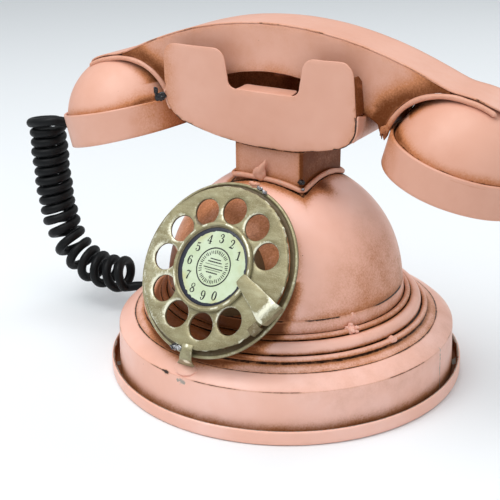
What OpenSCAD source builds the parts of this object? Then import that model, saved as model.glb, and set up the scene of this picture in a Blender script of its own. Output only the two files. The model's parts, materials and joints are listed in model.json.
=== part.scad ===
// Ornamental desk telephone made of painted sheet tin: a round stepped base
// with a domed body, a square neck, a boat-shaped cradle, a box-section
// handset with two domed cups, a fixed finger dial and a curly cord.
// Millimetres, +Z up, the dial faces -Y, the handset lies along X.

/* [Sheet metal] */
// Thickness of the tin sheet
sheet = 0.8; // [0.6:0.1:1.0]
// Clearance left between soldered pieces
joint_gap = 0.05; // [0.03:0.01:0.1]
// Running clearance between the handset and what it rests on
rest_gap = 0.3; // [0.2:0.1:0.5]

/* [Base] */
// Distance from the dome's edge out to the seam of the shoulder
tier_w = 16.1; // [15.6:0.1:18]
// Rise of the tier plate for each millimetre inwards
tier_slope = 0.48; // [0.42:0.01:0.52]
// Width of the shoulder, seen from above
shoulder_w = 7.7; // [7:0.1:9]
// Rise of the shoulder over its width
shoulder_rise = 4.7; // [4:0.1:5.5]
// Height of the shoulder's curve over a straight line
shoulder_bulge = 0.6; // [0.3:0.05:1]
// Height of the top of the base wall
wall_top_z = 22.4; // [20:0.2:26]
// Distance that the wall leans in between its foot and its top
wall_taper = 0.8; // [0.2:0.1:1.2]
// Distance from the foot of the wall to the outside of the tray
tray_gap = 3.6; // [3:0.1:4]
// Height of the tray's lip
tray_lip_h = 6.6; // [4:0.2:8]
// Diameter of the rolled edge on the tray's lip
tray_roll_d = 1.6; // [1.4:0.2:2.2]

/* [Rings under the dome] */
// Diameter of the lowest bead
low_bead_d = 3.0; // [2.4:0.1:3.2]
// Distance from the dome's edge out to the lowest bead's circle
low_bead_out = 10.5; // [10.3:0.1:11.5]
// Diameter of the large ring
big_ring_d = 7.0; // [6:0.1:7.2]
// Distance from the dome's edge out to the large ring's circle
big_ring_out = 5.4; // [5.2:0.1:5.6]
// Diameter of the upper bead
top_bead_d = 2.8; // [2.2:0.1:3]
// Distance from the dome's edge out to the upper bead's circle
top_bead_out = 2.4; // [2.3:0.1:2.5]

/* [Dome] */
// Outer radius of the domed body
dome_r = 54.3; // [53.8:0.1:55]
// Height of the dome's lower edge
dome_z = 43; // [42:0.5:45]
// Distance of the dome's centre below its edge
dome_drop = 1.5; // [0.5:0.1:3]

/* [Neck] */
// Width of the neck
neck_w = 33.8; // [28:0.2:36]
// Depth of the neck from front to back
neck_depth = 36.6; // [30:0.2:38]
// Shift of the neck to the right of the axis
neck_x = 1.0; // [0:0.1:1.5]
// Shift of the neck behind the axis
neck_y = 1.4; // [0:0.1:1.6]
// Diameter of the wire round the foot of the neck
neck_wire_d = 2.3; // [2:0.1:3.6]

/* [Cradle] */
// Distance between the outer faces of the cradle plates
cradle_depth = 40; // [38:0.5:46]
// Height of the lowest point of the cradle
cradle_z = 108.3; // [106:0.1:112]
// Radius of the cradle's curved underside
keel_r = 137; // [120:1:160]
// Radius of the lower right corner
right_corner_r = 10.7; // [8:0.1:12]
// Distance from the middle to the right edge
right_reach = 44; // [42:0.5:46]
// Radius of the lower left corner
left_corner_r = 14; // [10:0.5:15]
// Distance from the middle to the left edge
left_reach = 50.6; // [48:0.2:50.8]
// Height of the tops of the prongs
prong_top_z = 149; // [145:0.5:152]
// Rounding of the prongs' tops
prong_round = 6; // [3:0.5:7]
// Half the width of the notch between the prongs
notch_half_w = 17.5; // [14:0.5:19]
// Height of the bottom of the notch
notch_z = 132.5; // [130:0.5:135]
// Depth of the lip folded in along the notch
notch_lip = 7; // [4:0.5:7.5]
// Width of the flanges folded in at the plates' right ends
right_flange = 7.3; // [5:0.1:7.6]
// Width of the flanges folded in at the plates' left ends
left_flange = 6.5; // [4:0.1:6.6]
// Width of the tabs that clasp the right end wall
tab_w = 7.4; // [5:0.2:7.6]
// Width of the tabs that clasp the left end wall
left_tab_w = 6; // [4:0.5:6.5]
// Angle of the corner that each tab covers
tab_turn = 38; // [25:1:50]

/* [Handset] */
// Width of the handle
handle_w = 24; // [18:0.5:24.4]
// Height of the underside of the handle's top strip in the middle
handle_top_z = 159.4; // [157:0.2:162]
// Fall of the top strip for each square millimetre sideways
top_fall = 0.00313; // [0.0028:0.00005:0.0033]
// Height of the handle's underside in the middle
handle_low_z = 139.5; // [138:0.1:141]
// Fall of the underside for each square millimetre sideways
low_fall = 0.0066; // [0.0062:0.0001:0.007]
// Distance from the middle to the tip of the top strip's nose
nose_reach = 106; // [100:0.5:108]
// Diameter of the bead along the arch over each cup
arch_bead_d = 2.3; // [1.6:0.1:2.4]

/* [Cups] */
// Distance from the middle to the centre of a cup's mouth
cup_x = 81.6; // [80:0.2:84]
// Height of the centre of a cup's mouth
cup_z = 100.7; // [99:0.1:102]
// Tilt of a cup's axis
cup_tilt = 15.2; // [13:0.1:17]
// Outer radius of a cup's band
cup_r = 33; // [32:0.1:33.2]
// Height of a cup's band
band_h = 14.2; // [11:0.1:14.6]
// Height of the dome's centre above the mouth
cup_dome_h = 5.6; // [5:0.1:6]
// Depth of the mouth plate behind the rim
mouth_recess = 2.2; // [1:0.1:3]
// Diameter of the sound holes in the mouth plate
sound_hole_d = 3; // [2:0.5:4]
// Radius of the circle of sound holes
sound_ring_r = 9; // [7:0.5:14]

/* [Dial] */
// Distance of the dial's centre to the left of the axis
dial_x = 0.8; // [0:0.1:1.5]
// Distance of the dial's centre in front of the axis
dial_y = 59.3; // [58.5:0.1:61]
// Height of the dial's centre
dial_z = 66.7; // [65:0.1:68]
// Backward lean of the dial
dial_tilt = 32.6; // [31:0.2:34]
// Turn of the dial to the left
dial_yaw = 4; // [0:0.5:6]
// Radius of the finger wheel
wheel_r = 35.6; // [34:0.1:36]
// Thickness of the finger wheel
wheel_t = 1.5; // [1:0.1:1.8]
// Number of finger holes
finger_holes = 10; // [8:1:10]
// Diameter of a finger hole
finger_hole_d = 11.5; // [10:0.1:12]
// Radius of the circle of finger holes
finger_ring_r = 25.2; // [24.8:0.1:25.6]
// Direction of the first finger hole
first_hole = 23; // [20:1:26]
// Angle between two finger holes
hole_step = 31.7; // [30:0.1:33]
// Outer radius of the ring behind the wheel
rear_ring_r = 38.1; // [37.6:0.1:39]
// Inner radius of the ring behind the wheel
rear_ring_in_r = 34.4; // [33:0.1:35]
// Gap between the wheel and the ring behind it
rear_gap = 1.9; // [0.7:0.1:2.4]
// Outer radius of the raised rim round the number card
rim_r = 19.3; // [18:0.1:19.4]
// Height of the raised rim
rim_h = 2; // [1.8:0.1:3]
// Radius of the number card
card_r = 16.9; // [15:0.1:17.2]
// Radius of the can that carries the dial
can_r = 17.5; // [12:0.5:18.5]

/* [Finger stop] */
// Direction in which the stop runs, below the wheel's right-hand side
stop_turn = 31; // [25:1:34]
// Direction, as seen from the dial's centre, of the stop's inner end
stop_start = 8; // [6:1:12]
// Width of the stop at the rim
stop_w_in = 6; // [5:0.1:8]
// Width of the stop at its fold
stop_w_out = 10.4; // [8:0.1:11]
// Thickness of the stop
stop_t = 0.9; // [0.7:0.1:1.2]

/* [Cord] */
// Outer diameter of the curled cord
curl_d = 18; // [14:0.5:20]
// Diameter of the cord itself
cord_d = 4; // [3:0.5:5]

/* [Hidden] */
$fn = 96;
PINK = "lightpink";
GOLD = "palegoldenrod";
TIN = "silver";
BLACK = "dimgray";
FAR = 400;

// Points of an arc about c, from angle a0 to a1, in n steps.
function arc(c, r, a0, a1, n) =
    [for (i = [0 : n]) c + r * [cos(a0 + (a1 - a0) * i / n), sin(a0 + (a1 - a0) * i / n)]];

// ---- Base: profiles of radius and height, turned about Z ----
shoulder_in_r = dome_r + tier_w;
wall_top_r = shoulder_in_r + shoulder_w;
wall_r = wall_top_r + wall_taper;
tray_r = wall_r + tray_gap;
low_bead_r = dome_r + low_bead_out;
big_ring_r = dome_r + big_ring_out;
top_bead_r = dome_r + top_bead_out;
// The shoulder is an arc over the straight line between its two seams.
seam_out = [wall_top_r, wall_top_z];
seam_in = [shoulder_in_r, wall_top_z + shoulder_rise];
chord = norm(seam_out - seam_in);
curve_r = chord * chord / (8 * shoulder_bulge) + shoulder_bulge / 2;
curve_c = (seam_out + seam_in) / 2
    - (curve_r - shoulder_bulge) * [shoulder_rise, shoulder_w] / chord;
curve_from = atan2(seam_out[1] - curve_c[1], seam_out[0] - curve_c[0]);
curve_to = atan2(seam_in[1] - curve_c[1], seam_in[0] - curve_c[0]);
// Height of the tier plate's top at radius r; the plate butts against the shoulder.
function tier_z(r) = seam_in[1] + tier_slope * (shoulder_in_r - r);
tier_in_r = dome_r - 3;
// A bead lies on the tier plate where its underside is cut to the plate's slope.
low_bead_z = tier_z(low_bead_r) + 0.55;
big_ring_z = tier_z(big_ring_r) + 0.35;
skirt_r = top_bead_r - top_bead_d / 2 - joint_gap;
// The upper bead lies in the corner between the skirt and the large ring.
bead_reach = (big_ring_d + top_bead_d) / 2 + joint_gap;
top_bead_z = big_ring_z + sqrt(pow(bead_reach, 2) - pow(big_ring_r - top_bead_r, 2));

module foot_tray() {
    roll_r = tray_roll_d / 2;
    color(PINK) rotate_extrude() {
        square([tray_r - roll_r, sheet]);
        translate([tray_r - sheet, 0]) square([sheet, tray_lip_h - roll_r]);
        translate([tray_r - roll_r, tray_lip_h - roll_r]) circle(r = roll_r, $fn = 32);
    }
}

module base_wall() {
    top = wall_top_z;
    color(PINK) rotate_extrude()
        polygon([[wall_r - sheet, sheet], [wall_r, sheet], [wall_top_r, top],
            [wall_top_r - sheet, top]]);
}

module shoulder_ring() {
    outer = arc(curve_c, curve_r, curve_from, curve_to, 10);
    inner = arc(curve_c, curve_r - sheet, curve_to, curve_from, 10);
    color(PINK) rotate_extrude() difference() {
        polygon(concat(outer, inner));
        square([wall_r + 1, wall_top_z + joint_gap]);
        square([shoulder_in_r, FAR]);
    }
}

// Region at or below the tier plate's top, as a profile.
module under_tier() {
    polygon([[0, tier_z(0)], [0, -1], [wall_r, -1], [wall_r, tier_z(wall_r)]]);
}

module tier_plate() {
    out_r = shoulder_in_r - joint_gap;
    color(PINK) rotate_extrude()
        polygon([[out_r, tier_z(out_r)], [tier_in_r, tier_z(tier_in_r)],
            [tier_in_r, tier_z(tier_in_r) - sheet], [out_r, tier_z(out_r) - sheet]]);
}

// A round bead turned about Z, cut flat where it lies on the tier plate.
module tier_bead(r, z, d) {
    color(PINK) rotate_extrude() difference() {
        translate([r, z]) circle(d = d, $fn = 48);
        translate([0, joint_gap]) under_tier();
    }
}

dome_c = dome_z - dome_drop;
module dome_skirt() {
    top_r = dome_r + 0.4;
    z0 = tier_z(skirt_r - sheet) + joint_gap;
    color(PINK) rotate_extrude()
        polygon([[skirt_r - sheet, z0], [skirt_r, z0], [skirt_r, top_bead_z],
            [top_r, dome_z - joint_gap], [top_r - sheet, dome_z - joint_gap],
            [skirt_r - sheet, top_bead_z]]);
}

module dome() {
    color(PINK) rotate_extrude() intersection() {
        translate([0, dome_c]) difference() {
            circle(r = dome_r, $fn = 128);
            circle(r = dome_r - sheet, $fn = 128);
        }
        translate([0, dome_z]) square(dome_r);
    }
}

// ---- Neck ----
keel_x = 1;
keel_c = [keel_x, cradle_z + keel_r];
module dome_ball(extra) {
    translate([0, 0, dome_c]) sphere(r = dome_r + extra, $fn = 128);
}
module keel_bar(extra) {
    translate([keel_c[0], 0, keel_c[1]]) rotate([90, 0, 0])
        cylinder(r = keel_r + extra, h = FAR, center = true, $fn = 256);
}

NECK_LOW = [neck_x - neck_w / 2, neck_y - neck_depth / 2];
NECK_HIGH = [neck_x + neck_w / 2, neck_y + neck_depth / 2];
module neck() {
    wall = [sheet, sheet];
    color(PINK) difference() {
        translate([0, 0, dome_z]) linear_extrude(cradle_z + 5 - dome_z) difference() {
            translate(NECK_LOW) square(NECK_HIGH - NECK_LOW);
            translate(NECK_LOW + wall) square(NECK_HIGH - NECK_LOW - 2 * wall);
        }
        dome_ball(joint_gap);
        keel_bar(joint_gap);
    }
}

// The wire lies in the corner between the neck and the dome. Each side is an
// arc of a ring about the dome's centre, mitred at the neck's corners. A side
// is [turn, distance of the neck's face, corner to its left, corner to its right].
WIRE_SIDES = [[0, -NECK_LOW[1], NECK_LOW[0], NECK_HIGH[0]],
    [90, NECK_HIGH[0], NECK_LOW[1], NECK_HIGH[1]],
    [180, NECK_HIGH[1], -NECK_HIGH[0], -NECK_LOW[0]],
    [270, -NECK_LOW[0], -NECK_HIGH[1], -NECK_LOW[1]]];
wire_ball = dome_r + neck_wire_d / 2 + joint_gap;
module neck_wire() {
    mitre = neck_w;
    lap = 0.1;
    color(PINK) union() {
        for (s = WIRE_SIDES) rotate([0, 0, s[0]]) {
            out = s[1] + neck_wire_d / 2 + joint_gap;
            ring = sqrt(pow(wire_ball, 2) - pow(out, 2));
            intersection() {
                translate([0, -out, dome_c]) rotate([90, 0, 0])
                    rotate_extrude($fn = 128) translate([ring, 0])
                        circle(d = neck_wire_d, $fn = 24);
                translate([0, 0, dome_z]) linear_extrude(FAR)
                    polygon([[s[2] - lap, -s[1]], [s[2] - lap - mitre, -s[1] - mitre],
                        [s[3] + lap + mitre, -s[1] - mitre], [s[3] + lap, -s[1]]]);
            }
        }
    }
}

// ---- Cradle: outlines in X and Z ----
// The corner arcs run on from the keel without a kink.
function corner_c(x, r) = [x, keel_c[1] - sqrt(pow(keel_r - r, 2) - pow(x - keel_x, 2))];
right_c = corner_c(right_reach - right_corner_r, right_corner_r);
left_c = corner_c(-left_reach + left_corner_r, left_corner_r);
function from_keel(c) = 360 + atan2(c[1] - keel_c[1], c[0] - keel_c[0]);
// Outline from the top of the left corner along the keel to the top of the
// right one, moved inwards by d.
function keel_line(d) = concat(
    arc(left_c, left_corner_r - d, 180, from_keel(left_c), 16),
    arc(keel_c, keel_r - d, from_keel(left_c), from_keel(right_c), 14),
    arc(right_c, right_corner_r - d, from_keel(right_c), 360, 10));
right_lean = 1.7;
left_lean = -0.4;
right_top = [right_reach - right_lean, prong_top_z];
left_top = [-left_reach + left_lean, prong_top_z];
plate_in = cradle_depth / 2 - sheet;

module plate_outline() {
    flare = 1.5;
    low_r = 4;
    notch = concat(
        [[notch_half_w + flare, prong_top_z + 1]],
        arc([notch_half_w - low_r, notch_z + low_r], low_r, 0, -90, 6),
        arc([-notch_half_w + low_r, notch_z + low_r], low_r, 270, 180, 6),
        [[-notch_half_w - flare, prong_top_z + 1]]);
    difference() {
        polygon(concat(keel_line(0),
            arc(right_top - [prong_round, prong_round], prong_round, 0, 90, 6),
            arc(left_top + [prong_round, -prong_round], prong_round, 90, 180, 6)));
        polygon(notch);
        for (s = [-1, 1]) translate([s * (notch_half_w + flare), prong_top_z])
            prong_corner(s);
    }
}

// Waste cut from a prong's inner corner to round it.
module prong_corner(s) {
    r = prong_round;
    scale([s, 1]) translate([-0.3, 0.01]) difference() {
        translate([-1, -r]) square([r + 1, r + 1]);
        translate([r, -r]) circle(r = r, $fn = 48);
    }
}

// A cradle plate with its end flanges and notch lip folded inwards; side is
// -1 for the front plate and 1 for the back one.
module cradle_plate(side) {
    low_r = 4;
    color(PINK) scale_y(side) union() {
        translate([0, plate_in + sheet, 0]) rotate([90, 0, 0])
            linear_extrude(sheet) plate_outline();
        end_fold(right_top, [right_reach, right_c[1] + 4], right_flange, -1);
        end_fold(left_top, [-left_reach, left_c[1] + 1], left_flange, 1);
        translate([-notch_half_w + low_r, plate_in - notch_lip, notch_z - sheet])
            cube([2 * (notch_half_w - low_r), notch_lip, sheet]);
    }
}

// A flange folded in along a plate's end, from the prong down to low; in_x
// is the direction of the middle.
module end_fold(top, low, width, in_x) {
    corner = top - [0, prong_round];
    translate([0, plate_in, 0]) rotate([90, 0, 0]) linear_extrude(width - sheet)
        polygon([low, corner, corner + [in_x * sheet, 0], low + [in_x * sheet, 0]]);
}

// Mirrors a shape made on the +Y side to the side asked for.
module scale_y(side) {
    if (side < 0) mirror([0, 1, 0]) children();
    else children();
}

// Underside of the handle, which falls steeply to the tip beside each cup.
tip_x = 49.5;
tip_slope = 1.84;
function low_z(x) = handle_low_z - low_fall * x * x;
function under_z(x) = abs(x) < tip_x ? low_z(x) : low_z(tip_x) - tip_slope * (abs(x) - tip_x);

// One strip bent up at both ends, where the handle rests on it.
module cradle_floor() {
    line = keel_line(0);
    in_line = keel_line(sheet);
    right_wall_top = low_z(right_reach) - rest_gap;
    kept = [for (i = [0 : len(line) - 1]) if (line[i][1] < under_z(line[i][0]) - 2 * rest_gap) i];
    color(PINK) translate([0, plate_in, 0]) rotate([90, 0, 0]) linear_extrude(2 * plate_in)
        polygon(concat([for (i = kept) line[i]], [[right_reach, right_wall_top],
            [right_reach - sheet, right_wall_top]],
            [for (k = [len(kept) - 1 : -1 : 0]) in_line[kept[k]]]));
}

// A tab folded round the outside of an end wall, from height z0 up to z1.
module cradle_tab(side, width, c, r, a0, a1, end) {
    r0 = r + joint_gap;
    r1 = r0 + sheet;
    color(PINK) scale_y(side) translate([0, cradle_depth / 2, 0]) rotate([90, 0, 0])
        linear_extrude(width)
            polygon(concat(arc(c, r0, a0, a1, 8), end, arc(c, r1, a1, a0, 8)));
}

module right_tab(side) {
    x = right_reach + joint_gap;
    top = right_c[1] + 4.5;
    cradle_tab(side, tab_w, right_c, right_corner_r, -tab_turn, 0,
        [[x, top], [x + sheet, top]]);
}

module left_tab(side) {
    cradle_tab(side, left_tab_w, left_c, left_corner_r, 180 + tab_turn, 180, []);
}

// ---- Handset: outlines in X and Z ----
cup_dome_r = cup_r - sheet - 0.2;
cup_c = [cup_x + cup_dome_h * sin(cup_tilt), cup_z + cup_dome_h * cos(cup_tilt)];
panel_y = handle_w / 2;
// The top strip runs down on to the cups' domes and follows them.
strip_r = cup_dome_r + 0.35;
blend = 2;
function over_cup(x) =
    cup_c[1] + sqrt(max(0, pow(strip_r, 2) - pow(abs(x) - cup_c[0], 2)));
function arched(x) = handle_top_z - top_fall * x * x;
function top_z(x) =
    (arched(x) + over_cup(x) + sqrt(pow(arched(x) - over_cup(x), 2) + blend * blend)) / 2;
panel_end = 80;
top_step = 4;

// The bead over a cup is three arcs: up from the tip, over the cup, and along
// the dome under the strip's edge. Each is [centre, radius, from, to].
bead_r = arch_bead_d / 2;
over_c = cup_c - [4.07, 0.6];
over_r = cup_dome_r + 0.5;
tip_turn = 105;
tip_r = 24.5;
tip_c = over_c + (over_r - tip_r) * [cos(tip_turn), sin(tip_turn)];
tip_end_z = 117.2;
tip_end = 180 - asin((tip_end_z - tip_c[1]) / tip_r);
along_r = sqrt(pow(cup_dome_r + bead_r + 0.15, 2) - pow(panel_y, 2));
arc_gap = norm(cup_c - over_c);
arc_lean = atan2(cup_c[1] - over_c[1], cup_c[0] - over_c[0]);
over_start = arc_lean
    + acos((pow(arc_gap, 2) + pow(over_r, 2) - pow(along_r, 2)) / (2 * arc_gap * over_r));
along_end = arc_lean
    + acos((pow(over_r, 2) - pow(arc_gap, 2) - pow(along_r, 2)) / (2 * arc_gap * along_r));
along_start = 58;
ARCH = [[cup_c, along_r, along_start, along_end], [over_c, over_r, over_start, tip_turn],
    [tip_c, tip_r, tip_turn, tip_end]];

function mirrored(points) = [for (i = [len(points) - 1 : -1 : 0]) [-points[i][0], points[i][1]]];

// Outline of a side panel's right half, from its end over the cup to the middle.
function panel_half() =
    let(edge = bead_r + joint_gap, r = over_r + edge)
    concat(arc(over_c, r, acos((panel_end - over_c[0]) / r), tip_turn, 8),
        arc(tip_c, tip_r + edge, tip_turn, tip_end, 12),
        [for (x = [tip_x : -tip_x / 12 : tip_x / 24]) [x, low_z(x)]]);

module handle_panel(side) {
    half = panel_half();
    color(PINK) scale_y(side) translate([0, panel_y, 0]) rotate([90, 0, 0])
        linear_extrude(sheet) polygon(concat(
            [for (x = [-panel_end : top_step : panel_end]) [x, top_z(x)]],
            half, [[0, low_z(0)]], mirrored(half)));
}

// A strip of sheet metal across the handle, with its underside on a line.
module cross_strip(line, width) {
    color(PINK) translate([0, width / 2, 0]) rotate([90, 0, 0]) linear_extrude(width)
        polygon(concat(line, [for (i = [len(line) - 1 : -1 : 0]) line[i] + [0, sheet]]));
}

module handle_top() {
    ends = nose_reach - panel_y;
    steps = ceil(nose_reach / top_step);
    line = [for (i = [-steps : steps])
        let(x = nose_reach * i / steps) [x, top_z(x) + joint_gap]];
    intersection() {
        cross_strip(line, handle_w);
        linear_extrude(FAR) {
            square([2 * ends, handle_w], center = true);
            for (s = [-1, 1]) translate([s * ends, 0]) circle(d = handle_w);
        }
    }
}

module handle_bottom() {
    cross_strip([for (i = [-12 : 12]) let(x = tip_x * i / 12) [x, low_z(x)]],
        handle_w - 2 * sheet);
}

// A strip across the handle along the panels' arched edges over a cup.
module handle_saddle(end) {
    r = over_r + bead_r + joint_gap;
    shift = r - over_r;
    saddle_start = 95;
    saddle_end = tip_end - 2;
    width = handle_w - 2 * (sheet + joint_gap);
    color(PINK) scale_x(end) translate([0, width / 2, 0]) rotate([90, 0, 0])
        linear_extrude(width) polygon(concat(
            arc(over_c, r, saddle_start, tip_turn, 4),
            arc(tip_c, tip_r + shift, tip_turn, saddle_end, 12),
            arc(tip_c, tip_r + shift + sheet, saddle_end, tip_turn, 12),
            arc(over_c, r + sheet, tip_turn, saddle_start, 4)));
}

module arch_bead(side, end) {
    color(PINK) scale_x(end) scale_y(side) for (a = ARCH)
        translate([a[0][0], panel_y, a[0][1]]) rotate([90, 0, 0]) rotate([0, 0, a[2]])
            rotate_extrude(angle = a[3] - a[2], $fn = 128) translate([a[1], 0])
                circle(r = bead_r, $fn = 24);
}

// Mirrors a shape made on the +X side to the side asked for.
module scale_x(end) {
    if (end < 0) mirror([1, 0, 0]) children();
    else children();
}

// ---- Cups: made about their own axis, mouth at zero ----
module at_cup(end) {
    scale_x(end) translate([cup_x, 0, cup_z]) rotate([0, cup_tilt, 0]) children();
}

module cup_band(end) {
    roll = 0.7;
    color(PINK) at_cup(end) rotate_extrude() {
        translate([cup_r - sheet, 0]) square([sheet, band_h - roll]);
        translate([cup_r - roll, band_h - roll]) circle(r = roll, $fn = 32);
    }
}

module cup_dome(end) {
    color(PINK) at_cup(end) translate([0, 0, cup_dome_h]) rotate_extrude() intersection() {
        difference() {
            circle(r = cup_dome_r, $fn = 128);
            circle(r = cup_dome_r - sheet, $fn = 128);
        }
        square(cup_dome_r);
    }
}

module mouth_plate(end) {
    color(TIN) at_cup(end) translate([0, 0, mouth_recess]) difference() {
        cylinder(r = cup_r - sheet - joint_gap, h = sheet);
        for (a = [0 : 60 : 300]) rotate([0, 0, a]) translate([sound_ring_r, 0, -1])
            cylinder(d = sound_hole_d, h = sheet + 2, $fn = 32);
        translate([0, 0, -1]) cylinder(d = sound_hole_d, h = sheet + 2, $fn = 32);
    }
}

// ---- Dial: made about its own axis, the wheel's face at zero ----
module at_dial() {
    translate([-dial_x, -dial_y, dial_z]) rotate([90 - dial_tilt, 0, -dial_yaw]) children();
}
ring_top = -wheel_t - rear_gap;
lip_round = 0.8;
lip_top = ring_top - 0.2 + lip_round;

module dial_can() {
    color(GOLD) difference() {
        at_dial() translate([0, 0, -FAR / 8]) difference() {
            cylinder(r = can_r, h = FAR / 8 - wheel_t - joint_gap);
            translate([0, 0, -1]) cylinder(r = can_r - sheet, h = FAR / 8 + 2);
        }
        dome_ball(joint_gap);
        cylinder(r = skirt_r + joint_gap, h = dome_z);
    }
}

module dial_rear_ring() {
    color(GOLD) at_dial() rotate_extrude() {
        translate([rear_ring_in_r, ring_top - sheet])
            square([rear_ring_r - lip_round - rear_ring_in_r, sheet]);
        translate([rear_ring_r - lip_round, ring_top - 0.2]) circle(r = lip_round, $fn = 32);
    }
}

module finger_wheel() {
    color(GOLD) at_dial() translate([0, 0, -wheel_t]) difference() {
        cylinder(r = wheel_r, h = wheel_t);
        for (i = [0 : finger_holes - 1]) rotate([0, 0, first_hole + hole_step * i])
            translate([finger_ring_r, 0, -1])
                cylinder(d = finger_hole_d, h = wheel_t + 2, $fn = 48);
    }
}

card_z = 0.4;
card_t = 0.5;
module dial_rim() {
    in_r = card_r + joint_gap;
    roll = (rim_h - joint_gap) / 2;
    color(GOLD) at_dial() rotate_extrude() {
        translate([0, joint_gap]) square([rim_r - roll, card_z - 2 * joint_gap]);
        translate([in_r, joint_gap]) square([rim_r - roll - in_r, 1.8 * roll]);
        translate([rim_r - roll, rim_h - roll]) circle(r = roll, $fn = 32);
    }
}

module number_card() {
    color("honeydew") at_dial() translate([0, 0, card_z]) cylinder(r = card_r, h = card_t);
}

// A strip that springs from the rim, rises to a fold beyond the wheel's edge
// and turns down to the ring behind it. Its side view is in X and Y here.
module finger_stop() {
    foot = rim_h + joint_gap;
    start = rim_r - 1.9;
    fold = 18.8;
    reach = 21;
    t = stop_t;
    out = 2.1;
    plan = [[-1.5, -stop_w_in / 2], [fold, -stop_w_out / 2], [reach, -stop_w_out / 2],
        [reach, stop_w_out / 2], [fold, stop_w_out / 2], [-1.5, stop_w_in / 2]];
    side = [[-1.5, foot], [2, foot], [7, foot - 0.3], [12, foot - 0.1], [fold - 1, foot + 0.6],
        [fold + 1, foot - 0.4], [fold + out - t, 0], [fold + out - t, lip_top + joint_gap],
        [fold + out, lip_top + joint_gap], [fold + out, 0.5], [fold + 1.7, foot + t - 0.6],
        [fold - 0.8, foot + t + 0.6], [12, foot + t], [7, foot + t - 0.3], [2, foot + t],
        [-1.5, foot + t - 0.3]];
    color(GOLD) at_dial() difference() {
        rotate([0, 0, -stop_start]) translate([start, 0, 0])
            rotate([0, 0, stop_start - stop_turn]) intersection() {
                translate([0, stop_w_out, 0]) rotate([90, 0, 0])
                    linear_extrude(2 * stop_w_out) polygon(side);
                translate([0, 0, -5]) linear_extrude(15) polygon(plan);
            }
        translate([0, 0, -5]) cylinder(r = wheel_r + joint_gap, h = 5 + joint_gap);
    }
}

// A short strip folded over the wheel's edge on to the ring behind it.
module dial_edge_clip() {
    in_r = wheel_r - 2.6;
    edge = wheel_r + joint_gap;
    t = 0.6;
    color(GOLD) at_dial() rotate([0, 0, -37.5]) rotate([90, 0, 0])
        linear_extrude(5, center = true)
            polygon([[in_r, joint_gap], [edge, joint_gap], [edge, lip_top + joint_gap],
                [edge + t, lip_top + joint_gap], [edge + t, joint_gap + t],
                [in_r, joint_gap + t]]);
}

// Region at or below the shoulder, turned about Z.
module under_shoulder() {
    rotate_extrude() polygon(concat([[0, -1], [wall_r, -1], [wall_top_r, wall_top_z - 1]],
        arc(curve_c, curve_r + joint_gap, curve_from, curve_to, 12),
        [[shoulder_in_r, 0], [0, 0]]));
}

// A strap soldered to the foot of the wheel. It hangs in front of the ring
// behind the wheel, turns back below it and stands on the shoulder.
module dial_foot_strap() {
    // Middle and width of the strap at its top and at its foot.
    top = [-3.3, 5.4];
    foot = [-8.3, 7.6];
    lap = 5;
    lap_x = -4;
    bend_z = 32;
    foot_z = 25;
    back = 9.5;
    front = dial_y + wheel_r * sin(dial_tilt) + joint_gap;
    edge_z = dial_z - wheel_r * cos(dial_tilt);
    high = edge_z + 1;
    side = [[-front, high], [-front, bend_z], [-front + back, foot_z],
        [-front + back, foot_z - 1], [-front - sheet, bend_z - 0.4], [-front - sheet, high]];
    plan = [[top[0] - top[1] / 2, high + 1], [foot[0] - foot[1] / 2, foot_z],
        [foot[0] + foot[1] / 2, foot_z], [top[0] + top[1] / 2, high + 1]];
    color(GOLD) difference() {
        union() {
            at_dial() translate([lap_x, -wheel_r, joint_gap]) cube([top[1], lap, sheet]);
            intersection() {
                rotate([90, 0, 90]) linear_extrude(FAR, center = true) polygon(side);
                rotate([90, 0, 0]) linear_extrude(FAR) polygon(plan);
            }
        }
        under_shoulder();
        at_dial() translate([0, 0, -5]) cylinder(r = wheel_r + 0.01, h = 5 + joint_gap);
        at_dial() translate([0, 0, joint_gap + sheet]) cylinder(r = FAR / 8, h = 5);
    }
}

// ---- Cord: its route lies in the plane through the axis and the left cup ----
gland_h = 6;
gland_len = 5;
gland_d = 7.2;
gland_tip_d = 5.2;
CURL_ROUTE = [[-140.5, 0, 102], [-140.5, 0, 88], [-140, 0, 72], [-137.5, 0, 52],
    [-132, 0, 35], [-wall_r - 42.1, 0, 24.5], [-wall_r - 28.1, 0, 21], [-wall_r - 15.1, 0, 22],
    [-wall_r - 8.6, 0, 23]];
HANDSET_LEAD = [[-120.2, 0, 96.5], [-123, 0, 95.5], [-127, 0, 95.2], [-131.3, 0, 96]];
BASE_LEAD = [[-wall_r - 7.2, 0, 18], [-wall_r - 5.5, 0, 18], [-wall_r - 3.8, 0, 18]];
grommet_z = 18;
grommet_d = 9;
grommet_t = 3.4;

function heading(p, i) = let(a = p[min(i + 1, len(p) - 1)] - p[max(i - 1, 0)]) a / norm(a);
// A tube of diameter d along points in the plane y = 0, as one polyhedron.
module tube(p, d, sides) {
    n = len(p);
    rings = [for (i = [0 : n - 1]) let(side = cross(heading(p, i), [0, 1, 0]))
        for (k = [0 : sides - 1]) let(a = 360 * (k + 0.5) / sides)
            p[i] + d / 2 * (cos(a) * [0, 1, 0] + sin(a) * side)];
    walls = [for (i = [0 : n - 2]) for (k = [0 : sides - 1]) let(m = (k + 1) % sides)
        [i * sides + k, i * sides + m, (i + 1) * sides + m, (i + 1) * sides + k]];
    color(BLACK) polyhedron(rings, concat([[for (k = [sides - 1 : -1 : 0]) k]], walls,
        [[for (k = [0 : sides - 1]) (n - 1) * sides + k]]));
}

module cord_gland() {
    color(BLACK) at_cup(-1) difference() {
        translate([cup_r - 2, 0, gland_h]) rotate([0, 90, 0])
            cylinder(d1 = gland_d, d2 = gland_tip_d, h = gland_len + 2, $fn = 48);
        translate([0, 0, -1]) cylinder(r = cup_r + joint_gap, h = band_h + 2);
    }
}

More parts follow.
